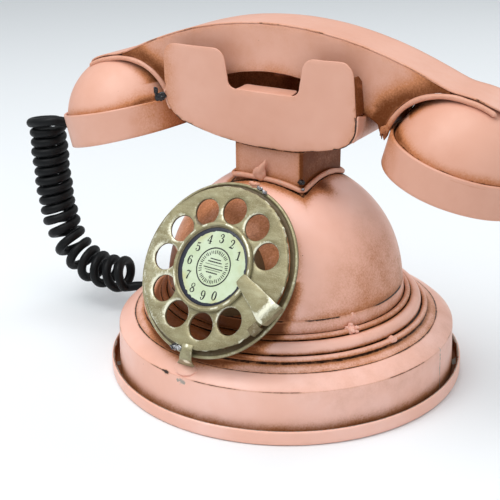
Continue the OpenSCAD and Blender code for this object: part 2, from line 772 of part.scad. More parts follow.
module cord_grommet() {
    color(BLACK) difference() {
        translate([-wall_r + 2, 0, grommet_z]) rotate([0, -90, 0])
            cylinder(d = grommet_d, h = grommet_t + 2, $fn = 48);
        cylinder(r = wall_r + joint_gap, h = FAR);
    }
}

foot_tray();
base_wall();
shoulder_ring();
tier_plate();
tier_bead(low_bead_r, low_bead_z, low_bead_d);  // low_bead
tier_bead(big_ring_r, big_ring_z, big_ring_d);  // big_ring
tier_bead(top_bead_r, top_bead_z, top_bead_d);  // top_bead
dome_skirt();
dome();
neck();
neck_wire();
cradle_plate(-1);  // cradle_front_plate
cradle_plate(1);  // cradle_back_plate
cradle_floor();
right_tab(-1);  // tab_front_right
left_tab(-1);  // tab_front_left
right_tab(1);  // tab_back_right
left_tab(1);  // tab_back_left
dial_can();
dial_rear_ring();
finger_wheel();
dial_rim();
number_card();
finger_stop();
dial_edge_clip();
dial_foot_strap();
cord_grommet();
handle_panel(-1);  // handle_front
handle_panel(1);  // handle_back
handle_top();
handle_bottom();
handle_saddle(1);  // handle_saddle_right
handle_saddle(-1);  // handle_saddle_left
arch_bead(-1, 1);  // arch_bead_front_right
arch_bead(-1, -1);  // arch_bead_front_left
arch_bead(1, 1);  // arch_bead_back_right
arch_bead(1, -1);  // arch_bead_back_left
cup_band(1);  // cup_band_right
cup_band(-1);  // cup_band_left
cup_dome(1);  // cup_dome_right
cup_dome(-1);  // cup_dome_left
mouth_plate(1);  // mouth_plate_right
mouth_plate(-1);  // mouth_plate_left
cord_gland();
tube(CURL_ROUTE, curl_d, 12);  // cord_curl
tube(HANDSET_LEAD, cord_d, 8);  // cord_lead_handset
tube(BASE_LEAD, cord_d, 8);  // cord_lead_base
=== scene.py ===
import json
import math

import bmesh
import bpy
import numpy as np
from mathutils import Euler, Matrix, Vector
from mathutils.geometry import delaunay_2d_cdt

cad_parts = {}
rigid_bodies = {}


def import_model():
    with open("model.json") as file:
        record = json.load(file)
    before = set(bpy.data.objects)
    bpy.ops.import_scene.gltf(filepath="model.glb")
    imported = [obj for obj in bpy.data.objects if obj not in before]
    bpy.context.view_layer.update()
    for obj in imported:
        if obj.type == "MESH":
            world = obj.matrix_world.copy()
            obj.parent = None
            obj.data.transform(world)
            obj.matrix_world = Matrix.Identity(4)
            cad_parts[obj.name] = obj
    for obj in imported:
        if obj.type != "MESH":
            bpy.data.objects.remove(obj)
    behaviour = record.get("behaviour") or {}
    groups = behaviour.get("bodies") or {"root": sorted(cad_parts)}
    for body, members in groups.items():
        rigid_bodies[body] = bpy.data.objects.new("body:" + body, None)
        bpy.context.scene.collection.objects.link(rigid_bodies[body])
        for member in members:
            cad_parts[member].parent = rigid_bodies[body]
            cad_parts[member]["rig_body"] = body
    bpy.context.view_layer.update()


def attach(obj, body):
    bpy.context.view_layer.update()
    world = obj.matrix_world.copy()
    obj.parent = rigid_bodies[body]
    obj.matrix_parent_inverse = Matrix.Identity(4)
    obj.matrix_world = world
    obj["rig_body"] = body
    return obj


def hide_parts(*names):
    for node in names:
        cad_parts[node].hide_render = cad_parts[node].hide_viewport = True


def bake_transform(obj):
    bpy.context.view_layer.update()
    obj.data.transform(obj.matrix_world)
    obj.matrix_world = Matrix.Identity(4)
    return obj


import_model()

# All lengths are in millimetres until a mesh is made.
MM = 0.001
FULL = 2 * math.pi
SHADES = ("brown", "dirt", "bare")


# ---------------------------------------------------------------- camera
# Matched to the photo: the lens, the place, and the angles in degrees. The camera is tipped
# up from looking straight down, leans a little, and stands to the right of the front.
SENSOR, LENS = 36, 77.4
CAMERA_AT = Vector((229.63, -402.09, 237.76))
CAMERA_TIP, CAMERA_LEAN, CAMERA_SIDE = 68.373, 0.651, 31.508


def make_camera():
    data = bpy.data.cameras.new("camera")
    data.sensor_width, data.lens = SENSOR, LENS
    data.clip_start, data.clip_end = 0.01, 20
    camera = bpy.data.objects.new("camera", data)
    bpy.context.scene.collection.objects.link(camera)
    turn = Euler([math.radians(v) for v in (CAMERA_TIP, CAMERA_LEAN, CAMERA_SIDE)])
    camera.matrix_world = Matrix.LocRotScale(CAMERA_AT * MM, turn, None)
    bpy.context.scene.camera = camera


make_camera()


# ---------------------------------------------------------------- shape tools
def polar(radius, angle):
    """A flat point at a distance and a direction from zero."""
    return radius * math.cos(angle), radius * math.sin(angle)


def arc(centre, radius, start, end, steps):
    """Points of an arc in a plane, angles in degrees."""
    turns = np.radians(np.linspace(start, end, steps + 1))
    return [(centre[0] + radius * math.cos(a), centre[1] + radius * math.sin(a)) for a in turns]


def spaced(line, step, closed=False):
    """The same polyline with no segment longer than step."""
    out = []
    for i in range(len(line) if closed else len(line) - 1):
        a, b = np.array(line[i], float), np.array(line[(i + 1) % len(line)], float)
        parts = max(1, math.ceil(np.linalg.norm(b - a) / step - 1e-6))
        out += [tuple(a + (b - a) * k / parts) for k in range(parts)]
    return out if closed else [*out, tuple(line[-1])]


def spline(points, step):
    """A Catmull-Rom curve through the points, at about one point per step."""
    p = np.array(points, float)
    p = np.vstack([2 * p[0] - p[1], p, 2 * p[-1] - p[-2]])
    out = []
    for i in range(1, len(p) - 2):
        parts = max(2, math.ceil(np.linalg.norm(p[i + 1] - p[i]) / step))
        for t in (k / parts for k in range(parts)):
            out.append(0.5 * (2 * p[i] + (p[i + 1] - p[i - 1]) * t
                              + (2 * p[i - 1] - 5 * p[i] + 4 * p[i + 1] - p[i + 2]) * t * t
                              + (3 * p[i] - 3 * p[i + 1] + p[i + 2] - p[i - 1]) * t ** 3))
    return np.array([*out, p[-2]])


def unit(v):
    """Rows of vectors at length 1."""
    return v / np.maximum(np.linalg.norm(v, axis=1), 1e-9)[:, None]


def left(d):
    """Flat directions turned a quarter to their left."""
    return np.stack([-d[:, 1], d[:, 0]], 1)


def heading(p, closed=False):
    """A line's direction at each of its points."""
    return unit(np.roll(p, -1, 0) - np.roll(p, 1, 0) if closed else np.gradient(p, axis=0))


def running(p):
    """The distance along a line at each of its points."""
    return np.concatenate([[0], np.cumsum(np.linalg.norm(np.diff(p, axis=0), axis=1))])


def lifted(flat, height):
    """Flat points as points in space, all at one height."""
    return np.column_stack([flat, np.full(len(flat), height)])


def rounded_strip(line, thick, steps=4):
    """Closed section of a sheet on a line's right side, rounded at both ends."""
    p = np.array(line, float)
    n, half = left(heading(p)), thick / 2
    mid = p - n * half
    cap = [(math.cos(a), math.sin(a)) for a in math.pi * np.arange(1, steps * 2) / (steps * 2)]
    d_end, d_start = np.array([n[-1][1], -n[-1][0]]), -np.array([n[0][1], -n[0][0]])
    end = [mid[-1] + half * (c * n[-1] + s * d_end) for c, s in cap]
    start = [mid[0] + half * (-c * n[0] + s * d_start) for c, s in cap]
    return [tuple(q) for q in [*(mid + n * half), *end, *(mid - n * half)[::-1], *start]]


def smooth_noise(p, size, seed):
    """Smooth values about 0 to 1 in size, from a few waves in fixed directions."""
    rng = np.random.default_rng(seed)
    total = np.zeros(len(p))
    for _ in range(6):
        k = rng.normal(size=3)
        k *= FULL / (size * rng.uniform(0.8, 1.6)) / np.linalg.norm(k)
        total += np.sin(p @ k + rng.uniform(0, FULL))
    return total / 3


def warped(p):
    """Beaten sheet metal is never quite true: one wavy field moves every piece."""
    low = np.clip(p[:, 2] / 8, 0, 1)[:, None]
    slow, quick = (np.stack([smooth_noise(p, size, s) for s in seeds], 1)
                   for size, seeds in ((95, (11, 12, 13)), (27, (21, 22, 23))))
    return p + low * (0.22 * slow + 0.05 * quick)


def near(distance, width):
    """Falls off from 1, softly, over about width."""
    return np.exp(-(distance / width) ** 2)


def ramp(x, start, end):
    """Rises smoothly from 0 at start to 1 at end."""
    t = np.clip((x - start) / (end - start), 0, 1)
    return t * t * (3 - 2 * t)


def piece(name, points, faces, material, body, slot, replaces=(), tint=None, sharp=55, warp=True):
    """A mesh piece from points in millimetres. tint gives brown, dark marks and wear, 0 to 1; each
    holds painted light in places.
    """
    p = np.array(points, float)
    mesh = bpy.data.meshes.new(name)
    mesh.from_pydata(((warped(p) if warp else p) * MM).tolist(), [],
                     [tuple(int(i) for i in f) for f in faces])
    work = bmesh.new()
    work.from_mesh(mesh)
    bmesh.ops.recalc_face_normals(work, faces=work.faces)
    work.to_mesh(mesh)
    work.free()
    for label, values in zip(SHADES, tint(p) if tint else (0, 0, 0)):
        layer = mesh.attributes.new(label, "FLOAT", "POINT")
        layer.data.foreach_set("value", np.clip(np.zeros(len(p)) + values, 0, 1).astype(np.float32))
    mesh.polygons.foreach_set("use_smooth", [True] * len(mesh.polygons))
    mesh.set_sharp_from_angle(angle=math.radians(sharp))
    mesh.materials.append(material)
    made = bpy.data.objects.new(name, mesh)
    bpy.context.scene.collection.objects.link(made)
    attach(made, body)
    if replaces:
        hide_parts(*replaces)
    return made


def loop_faces(rows, columns, close_rows, close_columns):
    """Quads of a grid of points stored row by row."""
    faces = []
    for i in range(rows if close_rows else rows - 1):
        a, b = i * columns, (i + 1) % rows * columns
        for k in range(columns if close_columns else columns - 1):
            m = (k + 1) % columns
            faces.append((a + k, a + m, b + m, b + k))
    return faces


def tube_faces(rows, columns):
    """A grid closed round its rows, with a cap at each end."""
    last = (rows - 1) * columns
    return loop_faces(rows, columns, False, True) + [
        tuple(range(columns)), tuple(last + k for k in range(columns))]


def turned(section, step, steps=360):
    """A closed section of (radius, height) turned about Z."""
    s = np.array(spaced(section, step, closed=True), float)
    a = np.linspace(0, FULL, steps, endpoint=False)[:, None]
    p = np.zeros((steps, len(s), 3))
    p[:, :, 0], p[:, :, 1], p[:, :, 2] = np.cos(a) * s[:, 0], np.sin(a) * s[:, 0], s[:, 1]
    return p.reshape(-1, 3), loop_faces(steps, len(s), True, True)


def swept(path, radius, sides=16, closed=False, across=(0, 1, 0)):
    """A round tube along a path of points. radius is a number or one per point."""
    p = np.array(path, float)
    r, d, u = np.zeros(len(p)) + radius, heading(p, closed), np.array(across, float)
    a = FULL * (np.arange(sides) + 0.5) / sides
    rings = []
    for i in range(len(p)):
        u = u - d[i] * (u @ d[i])
        u /= np.linalg.norm(u)
        v = np.cross(d[i], u)
        rings.append(p[i] + r[i] * (np.cos(a)[:, None] * u + np.sin(a)[:, None] * v))
    faces = loop_faces(len(p), sides, True, True) if closed else tube_faces(len(p), sides)
    return np.array(rings).reshape(-1, 3), faces


def round_ends(count, radius, steps):
    """Radii along a path that close in smoothly over its first and last points."""
    r = np.full(count, float(radius))
    for i in range(steps):
        t = math.sin(math.pi / 2 * (i + 0.25) / steps)
        r[i] *= t
        r[count - 1 - i] *= t
    return r


def inset(loop, distance):
    """A closed outline moved inwards (to the left of its direction)."""
    p = np.array(loop, float)
    back, on = unit(p - np.roll(p, 1, 0)), unit(np.roll(p, -1, 0) - p)
    n = unit(left(back + on))
    return p + n * (distance / np.clip((n * left(on)).sum(1), 0.5, 1))[:, None]


def inside(points, loop, *holes):
    """Which of the points lie inside a closed outline and outside its holes."""
    p = np.array(loop, float)
    found = np.zeros(len(points), bool)
    for a, b in zip(p, np.roll(p, -1, 0)):
        spans = (a[1] > points[:, 1]) != (b[1] > points[:, 1])
        x = a[0] + (points[:, 1] - a[1]) * (b[0] - a[0]) / (b[1] - a[1] if b[1] != a[1] else 1)
        found ^= spans & (points[:, 0] < x)
    for hole in holes:
        found &= ~inside(points, hole)
    return found


def area(loop):
    """An outline's area, negative where it runs clockwise."""
    p = np.array(loop, float)
    q = np.roll(p, -1, 0)
    return float((p[:, 0] * q[:, 1] - q[:, 0] * p[:, 1]).sum() / 2)


def plate(loops, thick, step=2.2, edge=0.24, place=None, rough=0.0, seed=1):
    """A flat sheet from an outline and its holes, with rounded edges and a fine
    grid inside. place turns (u, v, w) into points, w from 0 to the thickness."""
    loops = [spaced(loop, step * 0.6, closed=True) for loop in loops]
    loops = [loop if (area(loop) > 0) == (k == 0) else loop[::-1] for k, loop in enumerate(loops)]
    if rough:
        for k, loop in enumerate(loops):
            q = np.array(loop)
            flat = lifted(q, 0)
            shake = (0.7 * smooth_noise(flat, 7, seed + k)
                     + 0.5 * smooth_noise(flat, 2.6, seed + 50 + k))
            loops[k] = q + rough * left(heading(q, True)) * shake[:, None]
    rings = [(0.0, edge), (edge * 0.3, edge * 0.3), (edge, 0.0)]
    levels = [(d, thick - w) for d, w in rings[::-1][1:]] + rings[:-1]
    inner = [inset(loop, edge) for loop in loops]
    flat = np.vstack(inner)
    marks, start = [], 0
    for loop in inner:
        marks += [(start + i, start + (i + 1) % len(loop)) for i in range(len(loop))]
        start += len(loop)
    low, high = flat.min(0), flat.max(0)
    grid = np.array([(x + (step / 2 if j % 2 else 0), y)
                     for j, y in enumerate(np.arange(low[1], high[1], step * 0.87))
                     for x in np.arange(low[0], high[0], step)])
    grid = grid[inside(grid, *(inset(loop, edge + step * 0.45) for loop in loops))]
    cloud = [Vector(q) for q in [*flat, *grid]]
    out, _, tris, origin, _, _ = delaunay_2d_cdt(cloud, marks, [], 0, 1e-5)
    middle = np.array([[sum(out[i][k] for i in t) / 3 for k in (0, 1)] for t in tris])
    tris = [t for t, good in zip(tris, inside(middle, *inner)) if good]
    cap = np.array([[q[0], q[1]] for q in out])
    where = {s: i for i, sources in enumerate(origin) for s in sources}
    points = [lifted(cap, thick), lifted(cap, 0)]
    faces = [tuple(t) for t in tris] + [tuple(i + len(cap) for i in reversed(t)) for t in tris]
    count, start = 2 * len(cap), 0
    for loop in loops:
        n = len(loop)
        layers = [[where[start + i] for i in range(n)]]
        for d, w in levels:
            points.append(lifted(inset(loop, d) if d else np.array(loop, float), w))
            layers.append(list(range(count, count + n)))
            count += n
        layers.append([where[start + i] + len(cap) for i in range(n)])
        for a, b in zip(layers, layers[1:]):
            faces += [(a[i], a[(i + 1) % n], b[(i + 1) % n], b[i]) for i in range(n)]
        start += n
    points = np.vstack(points)
    return (place(points) if place else points), faces


def sheet_strip(run, half, place):
    """A rectangular sheet, from 0 to run and half to each side, put in its place."""
    return plate([[(0, -half), (run, -half), (run, half), (0, half)]], SHEET, place=place)


def ribbon(line, across, widths, thick, crown):
    """A strip along a line of points; across is its width's direction."""
    p, a = np.array(line, float), np.array(across, float)
    d, w, r = heading(p), np.zeros(len(p)) + widths, thick / 2
    cells, around = 6, 6
    rings = []
    for i in range(len(p)):
        n = np.cross(d[i], a)
        n /= np.linalg.norm(n)
        half = max(w[i] / 2 - r, 0.05)
        scale = math.sin(math.pi / 2 * min(1, (min(i, len(p) - 1 - i) + 0.3) / 2.5))
        ring = []
        for side in (1, -1):
            for k in range(cells + 1):
                x = side * half * (1 - 2 * k / cells)
                ring.append((x, side * r * scale + crown * (1 - (x / half) ** 2)))
            for k in range(1, around):
                t = math.pi * k / around
                ring.append((-side * (half + r * math.sin(t)), side * r * scale * math.cos(t)))
        rings.append([p[i] + a * x + n * y for x, y in ring])
    return np.array(rings).reshape(-1, 3), tube_faces(len(p), len(rings[0]))


def blob(centre, sizes, seed, rough=0.25, level=4, turn=None):
    """A drop of solder: a ball with waves in it."""
    work = bmesh.new()
    bmesh.ops.create_icosphere(work, subdivisions=level, radius=1)
    p = np.array([v.co for v in work.verts], float)
    faces = [tuple(v.index for v in f.verts) for f in work.faces]
    work.free()
    bump = 1 + rough * (0.6 * smooth_noise(p, 1.6, seed) + 0.4 * smooth_noise(p, 0.7, seed + 1))
    p = p * bump[:, None] * np.array(sizes, float)
    if turn is not None:
        p = p @ np.array(turn, float).T
    return p + np.array(centre, float), faces


def joined(parts):
    """Several (points, faces) as one."""
    points, faces, start = [], [], 0
    for p, f in parts:
        points.append(np.array(p, float))
        faces += [tuple(i + start for i in face) for face in f]
        start += len(p)
    return np.vstack(points), faces


# ---------------------------------------------------------------- materials
class Nodes:
    """Short calls for building one material's nodes."""

    def __init__(self, name):
        self.material = bpy.data.materials.new(name)
        self.material.use_nodes = True
        self.tree = self.material.node_tree
        self.tree.nodes.clear()
        out = self.tree.nodes.new("ShaderNodeOutputMaterial")
        self.shader = self.tree.nodes.new("ShaderNodeBsdfPrincipled")
        self.tree.links.new(self.shader.outputs[0], out.inputs[0])
        self.place = self.node("TexCoord", {}, "Object")

    def put(self, socket, value):
        if isinstance(value, bpy.types.NodeSocket):
            self.tree.links.new(value, socket)
        elif value is not None:
            if socket.type == "RGBA" and len(value) == 3:
                value = (*value, 1)
            socket.default_value = value

    def node(self, kind, inputs, output=0, **settings):
        """One output of a new node, its inputs keyed by number or name."""
        made = self.tree.nodes.new("ShaderNode" + kind)
        for label, value in settings.items():
            setattr(made, label, value)
        for key, value in inputs.items():
            self.put(made.inputs[key], value)
        return made.outputs[output]

    def math(self, kind, a, b=None, c=None, clamp=False):
        return self.node("Math", {0: a, 1: b, 2: c}, operation=kind, use_clamp=clamp)

    def noise(self, size, detail=2.0, rough=0.5, stretch=None):
        """Noise about 0.5, with features of about size in millimetres."""
        where = self.node("Mapping", {0: self.place, "Scale": stretch}) if stretch else self.place
        return self.node("TexNoise", {"Vector": where, "Scale": 1000 / size, "Detail": detail,
                                      "Roughness": rough})

    def band(self, value, low, high, start=0.0, end=1.0):
        """Maps value from low..high on to start..end, smoothly and clamped."""
        return self.node("MapRange", dict(enumerate((value, low, high, start, end))),
                         interpolation_type="SMOOTHSTEP")

    def cloud(self, size, detail, rough, *limits):
        """Noise put through a band."""
        return self.band(self.noise(size, detail, rough), *limits)

    def ragged(self, value, amount, *noise):
        """value with its edge broken up by noise."""
        around = self.math("SUBTRACT", self.noise(*noise), 0.5)
        return self.math("MULTIPLY_ADD", around, amount, value)

    def mask(self, value, low, high, where, start, end, most=1.0):
        """value as a share, kept to where the painted attribute reaches."""
        return self.math("MULTIPLY", self.band(value, low, high, 0.0, most),
                         self.band(where, start, end), clamp=True)

    def attribute(self, name):
        return self.node("Attribute", {}, "Fac", attribute_name=name)

    def mix(self, share, a, b):
        return self.node("Mix", {"Factor": share, "A": a, "B": b}, "Result", data_type="RGBA")

    def bump(self, height, distance, strength=1.0, before=None):
        return self.node("Bump", {"Strength": strength, "Distance": distance * MM,
                                  "Height": height, "Normal": before})

    def finish(self, color, rough, metallic=0.0, normal=None, **plain):
        plain.update(Base_Color=color, Roughness=rough, Metallic=metallic, Normal=normal)
        for label, value in plain.items():
            self.put(self.shader.inputs[label.replace("_", " ")], value)
        return self.material


def srgb(r, g, b):
    """A colour as seen on screen, 0 to 255, as the shader's linear values."""
    return tuple(c / 255 / 12.92 if c <= 10 else ((c / 255 + 0.055) / 1.055) ** 2.4
                 for c in (r, g, b))


BROWN_THIN, BROWN_FULL = srgb(190, 124, 84), srgb(104, 54, 22)
DARK, SOLDER = srgb(42, 24, 14), srgb(168, 160, 150)
GOLD, GOLD_DEEP, GOLD_PALE = srgb(152, 144, 108), srgb(130, 120, 86), srgb(192, 188, 156)


def paint(name, main, deep, pale, coat):
    """Enamel in one pink, glazed with brown in the folds, dark in the seams
    and worn to tin on the edges; in places the brown and the dark are painted shade."""
    n = Nodes(name)
    brown, dirt, bare = (n.attribute(label) for label in SHADES)
    color = n.mix(n.cloud(42, 3, 0.55, 0.34, 0.68), deep, pale)
    color = n.mix(n.cloud(7, 4, 0.6, 0.3, 0.7, 0.45, 0.75), color, main)
    # The brown glaze, painted shade in places, lies in soft clouds; its thin edge breaks up into
    # fine dots.
    dots = n.math("MULTIPLY", n.math("SUBTRACT", n.noise(0.8, 3, 0.65), 0.5),
                  n.band(brown, 0.03, 0.3, 0, 0.55))
    patch = n.ragged(n.math("ADD", dots, brown), 0.5, 11, 4, 0.6)
    fade = n.mask(patch, -0.02, 1.05, brown, 0.0, 0.1)
    color = n.mix(n.math("MULTIPLY", fade, 2.0, clamp=True), color, BROWN_THIN)
    color = n.mix(n.math("MULTIPLY_ADD", fade, 2.0, -1.0, clamp=True), color, BROWN_FULL)
    # Seams are a hair's breadth of dark that comes and goes: dirt in joints, painted shade in
    # grooves.
    wander = n.math("MULTIPLY", n.math("SUBTRACT", n.noise(3.2, 5, 0.75), 0.52), 0.55)
    dark_line = n.math("ADD", dirt, wander)
    dark = n.mask(dark_line, 0.80, 0.98, dirt, 0.2, 0.5)
    color = n.mix(n.mask(dark_line, 0.35, 1.0, dirt, 0.1, 0.4, 0.55), color, BROWN_THIN)
    color = n.mix(dark, color, DARK)
    cells = n.node("TexVoronoi", {"Vector": n.place, "Scale": 1000 / 5.5}, "Distance")
    specks = n.math("MULTIPLY", n.band(cells, 0.05, 0.025), n.cloud(14, 2, 0.5, 0.52, 0.64))
    color = n.mix(n.math("MULTIPLY", specks, 0.8), color, BROWN_FULL)
    # Bare tin where an edge is rubbed.
    worn = n.mask(n.ragged(bare, 1.2, 1.3, 3, 0.6), 0.55, 0.72, bare, 0.0, 0.1)
    color = n.mix(worn, color, SOLDER)
    rough = n.math("MULTIPLY_ADD", fade, 0.08, n.cloud(3.2, 3, 0.6, 0.25, 0.75, 0.34, 0.46))
    skin = n.bump(n.noise(0.8, 2, 0.5), 0.012, 0.5)
    skin = n.bump(n.noise(5, 2, 0.5), 0.1, 0.6, skin)
    skin = n.bump(n.math("SUBTRACT", 1.0, dark), 0.12, 0.8, skin)
    return n.finish(color, rough, n.math("MULTIPLY", worn, 0.85), skin,
                    Coat_Weight=coat, Coat_Roughness=0.3,
                    Specular_IOR_Level=n.math("MULTIPLY_ADD", fade, -0.3, 0.36))


def gold_paint(name):
    """Pale gold metallic paint put on with a soft brush."""
    n = Nodes(name)
    brown, dirt, bare = (n.attribute(label) for label in SHADES)
    color = n.mix(n.cloud(19, 3, 0.55, 0.3, 0.7), GOLD_DEEP, GOLD)
    strokes = n.noise(2.6, 4, 0.65, stretch=(0.35, 1.0, 1.0))
    color = n.mix(n.band(strokes, 0.4, 0.8, 0.0, 0.5), color, GOLD_PALE)
    color = n.mix(n.cloud(0.35, 1, 0.5, 0.5, 0.8, 0.0, 0.5), color, GOLD_PALE)
    # Brown where the tints ask for it; on the can behind the wheel it is painted shade.
    fade = n.mask(n.ragged(brown, 0.4, 1.3, 3, 0.6), 0.05, 0.95, brown, 0.0, 0.1)
    color = n.mix(n.math("MULTIPLY", fade, 0.92), color, srgb(84, 62, 38))
    dark = n.mask(n.ragged(dirt, 0.6, 1.4, 4, 0.7), 0.5, 0.75, dirt, 0.0, 0.2)
    color = n.mix(dark, color, srgb(46, 36, 24))
    # Pale where edges are rubbed, and painted highlights on the wheel, the stop's fold and the
    # strap.
    highlight_and_wear = n.mask(n.ragged(bare, 0.8, 0.9, 3, 0.6), 0.3, 0.8, bare, 0.0, 0.15)
    color = n.mix(highlight_and_wear, color, srgb(232, 231, 208))
    skin = n.bump(n.noise(7, 3, 0.5), 0.18, 0.6, n.bump(strokes, 0.04, 0.4))
    return n.finish(color, n.cloud(2.4, 3, 0.6, 0.3, 0.7, 0.36, 0.5),
                    n.math("MULTIPLY_ADD", fade, -0.3, 0.38), skin)


def tin(name):
    """Dull bare tin plate, a little rusty."""
    n = Nodes(name)
    color = n.mix(n.cloud(12, 4, 0.6, 0.3, 0.7), srgb(150, 146, 138), srgb(186, 183, 176))
    rust = n.math("MULTIPLY_ADD", n.attribute("brown"), 0.5, n.noise(4, 5, 0.7))
    color = n.mix(n.band(rust, 0.62, 0.78, 0.0, 0.8), color, srgb(120, 78, 50))
    grain = n.noise(1.2, 3, 0.6, stretch=(0.1, 1, 1))
    return n.finish(color, n.band(grain, 0.3, 0.7, 0.3, 0.45), n.band(rust, 0.62, 0.78, 0.9, 0.1),
                    n.bump(grain, 0.02, 0.4))


def rubber(name):
    """Black cord cover: a smooth extruded skin with dust and a faint grain."""
    n = Nodes(name)
    color = n.mix(n.cloud(2.0, 4, 0.7, 0.55, 0.8, 0.0, 0.15), srgb(9, 11, 13), srgb(40, 42, 45))
    return n.finish(color, n.cloud(1.1, 3, 0.6, 0.3, 0.7, 0.44, 0.56), 0.0,
                    n.bump(n.noise(0.5, 2, 0.5), 0.015, 0.4), Specular_IOR_Level=0.2)


def card_paper(name):
    """Pale green card, a little stained, with a navy ground round its print."""
    n = Nodes(name)
    color = n.mix(n.cloud(9, 4, 0.6, 0.3, 0.7), srgb(186, 201, 164), srgb(200, 214, 186))
    stain = n.ragged(n.attribute("brown"), 0.8, 5, 4, 0.6)
    color = n.mix(n.band(stain, 0.1, 0.8, 0.0, 0.6), color, srgb(186, 178, 112))
    navy = n.band(n.ragged(n.attribute("dirt"), 0.03, 1.5, 3, 0.6), 0.485, 0.515)
    color = n.mix(navy, color, srgb(22, 26, 44))
    fibre = n.noise(0.5, 3, 0.6)
    return n.finish(color, n.band(fibre, 0.3, 0.7, 0.4, 0.55), 0.0, n.bump(fibre, 0.01, 0.4),
                    Coat_Weight=0.2, Coat_Roughness=0.25)


def print_ink(name):
    """Black print, slightly grey and uneven."""
    n = Nodes(name)
    color = n.mix(n.cloud(0.8, 3, 0.6, 0.4, 0.75, 0.0, 0.5), srgb(20, 22, 24), srgb(66, 70, 66))
    return n.finish(color, n.cloud(0.6, 2, 0.5, 0.3, 0.7, 0.45, 0.6), 0.0,
                    n.bump(n.noise(0.4, 2, 0.5), 0.005, 0.3))


def solder_metal(name):
    """Lumpy grey solder, black where the flux has burnt."""
    n = Nodes(name)
    lumps = n.noise(1.4, 4, 0.6)
    color = n.mix(n.cloud(2.5, 3, 0.6, 0.4, 0.6), srgb(196, 198, 200), srgb(120, 120, 124))
    burnt = n.math("MULTIPLY_ADD", n.attribute("dirt"), 0.5, n.noise(1.7, 4, 0.7))
    color = n.mix(n.band(burnt, 0.62, 0.75), color, srgb(24, 22, 26))
    return n.finish(color, n.band(lumps, 0.3, 0.7, 0.2, 0.45), n.band(burnt, 0.62, 0.75, 0.95, 0.2),
                    n.bump(lumps, 0.25, 0.8))


# The base is enamelled paler than the handset and cradle: partly a paler paint and partly painted
# light for the better-lit base.
pink = paint("pink_enamel", srgb(214, 160, 138), srgb(205, 149, 126), srgb(222, 172, 153), 0.06)
rose = paint("rose_enamel", srgb(239, 186, 167), srgb(231, 175, 153), srgb(246, 204, 193), 0.12)
gold = gold_paint("brushed_gold")
bare_tin = tin("tin_plate")
black = rubber("cord_rubber")
card_stock = card_paper("card_stock")
ink = print_ink("card_ink")
solder = solder_metal("solder")

SIDES = ((-1, "front"), (1, "back"))
ENDS = ((1, "right"), (-1, "left"))


def enamel(name, shape, tint, body="base", material=pink):
    """An enamelled piece that stands for the part's node of the same name."""
    piece(name, *shape, material, body, "pink_paint", [name], tint)


# ---------------------------------------------------------------- cord
ROUTE = [(-140.5, 0, 102), (-140.5, 0, 88), (-140, 0, 72), (-137.5, 0, 52), (-132, 0, 35),
         (-121, 0, 24.5), (-107, 0, 21), (-94, 0, 22), (-87.5, 0, 23)]
HANDSET_END = (-120.2, 0, 96.5)
BASE_END = (-82.6, 0, 18)
CORD_D, CORD_LENGTH = 4.7, 0.822
# Turns of the coil lie close together where they hang and open out at the bend.
COIL_R, TIGHT, LOOSE, TURN_STEPS = 7.2, 5.1, 8.3, 24
# How far the coil stays from the two ends of its route.
COIL_START, COIL_SPARE = 9.5, 8.0
# Out of the cup the cord lies once across the front, then goes into the coil.
LEAD_IN = [HANDSET_END, (-122.5, -0.1, 96.9), (-125.5, -1.0, 98.4), (-128.5, -3.4, 99.7),
           (-132.2, -7.0, 99.9), (-139.5, -8.3, 98.6), (-146.3, -5.8, 97.0), (-149.4, 0, 96.1),
           (-146.8, 5.6, 95.9), (-140.8, 7.8, 96.0), (-134.8, 5.0, 95.2), (-133.0, 0, 94.2),
           (-135.3, -5.0, 93.2)]


def cord_path():
    """Lead from the handset, the coil wound about its route, and lead to the base."""
    route = spline(ROUTE, 0.5)
    along = running(route)
    ways = heading(route)
    s, end, turn, path = COIL_START, along[-1] - COIL_SPARE, -90, []
    # The last turn ends near its underside, heading for the grommet.
    while s < end or turn % 360 != 240:
        centre = np.array([np.interp(s, along, route[:, k]) for k in range(3)])
        d = np.array([np.interp(s, along, ways[:, k]) for k in range(3)])
        d /= np.linalg.norm(d)
        side = np.cross((0, 1, 0), d)
        a = math.radians(turn)
        radius = COIL_R * (1 + 0.03 * math.sin(s * 0.37) + 0.02 * math.sin(s * 1.13 + 1))
        path.append(centre + radius * (math.sin(a) * np.array((0, 1.0, 0)) - math.cos(a) * side))
        pitch = TIGHT + (LOOSE - TIGHT) * float(ramp(s, 48, 72)) * (1 + 0.12 * math.sin(s * 0.21))
        turn -= 360 // TURN_STEPS
        s += pitch / TURN_STEPS
    x, y, z = path[-1]
    lead_out = [(x + 0.7, y + 1.0, z - 2.6), (x + 1.6, y + 3.4, z - 3.4),
                ((x + BASE_END[0]) / 2 + 0.6, (y + 4.0) / 2 + 0.3, BASE_END[2] - 0.6), BASE_END]
    return spline([*LEAD_IN, *path, *lead_out], 1.0)


path = cord_path()
cord = piece("curly_cord", *swept(path, CORD_D / 2, sides=14), black, "base", "cord_rubber",
             ["cord_curl", "cord_lead_handset", "cord_lead_base"], warp=False)
cord.parent = None
del cord["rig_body"]
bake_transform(cord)


# ---------------------------------------------------------------- base
SHEET = 0.8
GAP = 0.05
DOME_R, DOME_Z, DOME_C = 54.3, 43.0, 41.5
SHOULDER_IN_R, SHOULDER_W, SHOULDER_RISE, SHOULDER_BULGE = 70.4, 7.7, 4.7, 0.6
WALL_R, WALL_TOP_R, WALL_TOP = 78.9, 78.1, 22.4
TRAY_R, LIP_H = 82.5, 6.6
TIER_IN_R, SLOPE = 51.4, 0.48
LOW_BEAD = (64.8, 3.0)
BIG_RING = (59.7, 7.0)
TOP_BEAD = (56.7, 2.8)


def tier_z(r):
    return WALL_TOP + SHOULDER_RISE + SLOPE * (SHOULDER_IN_R - r)


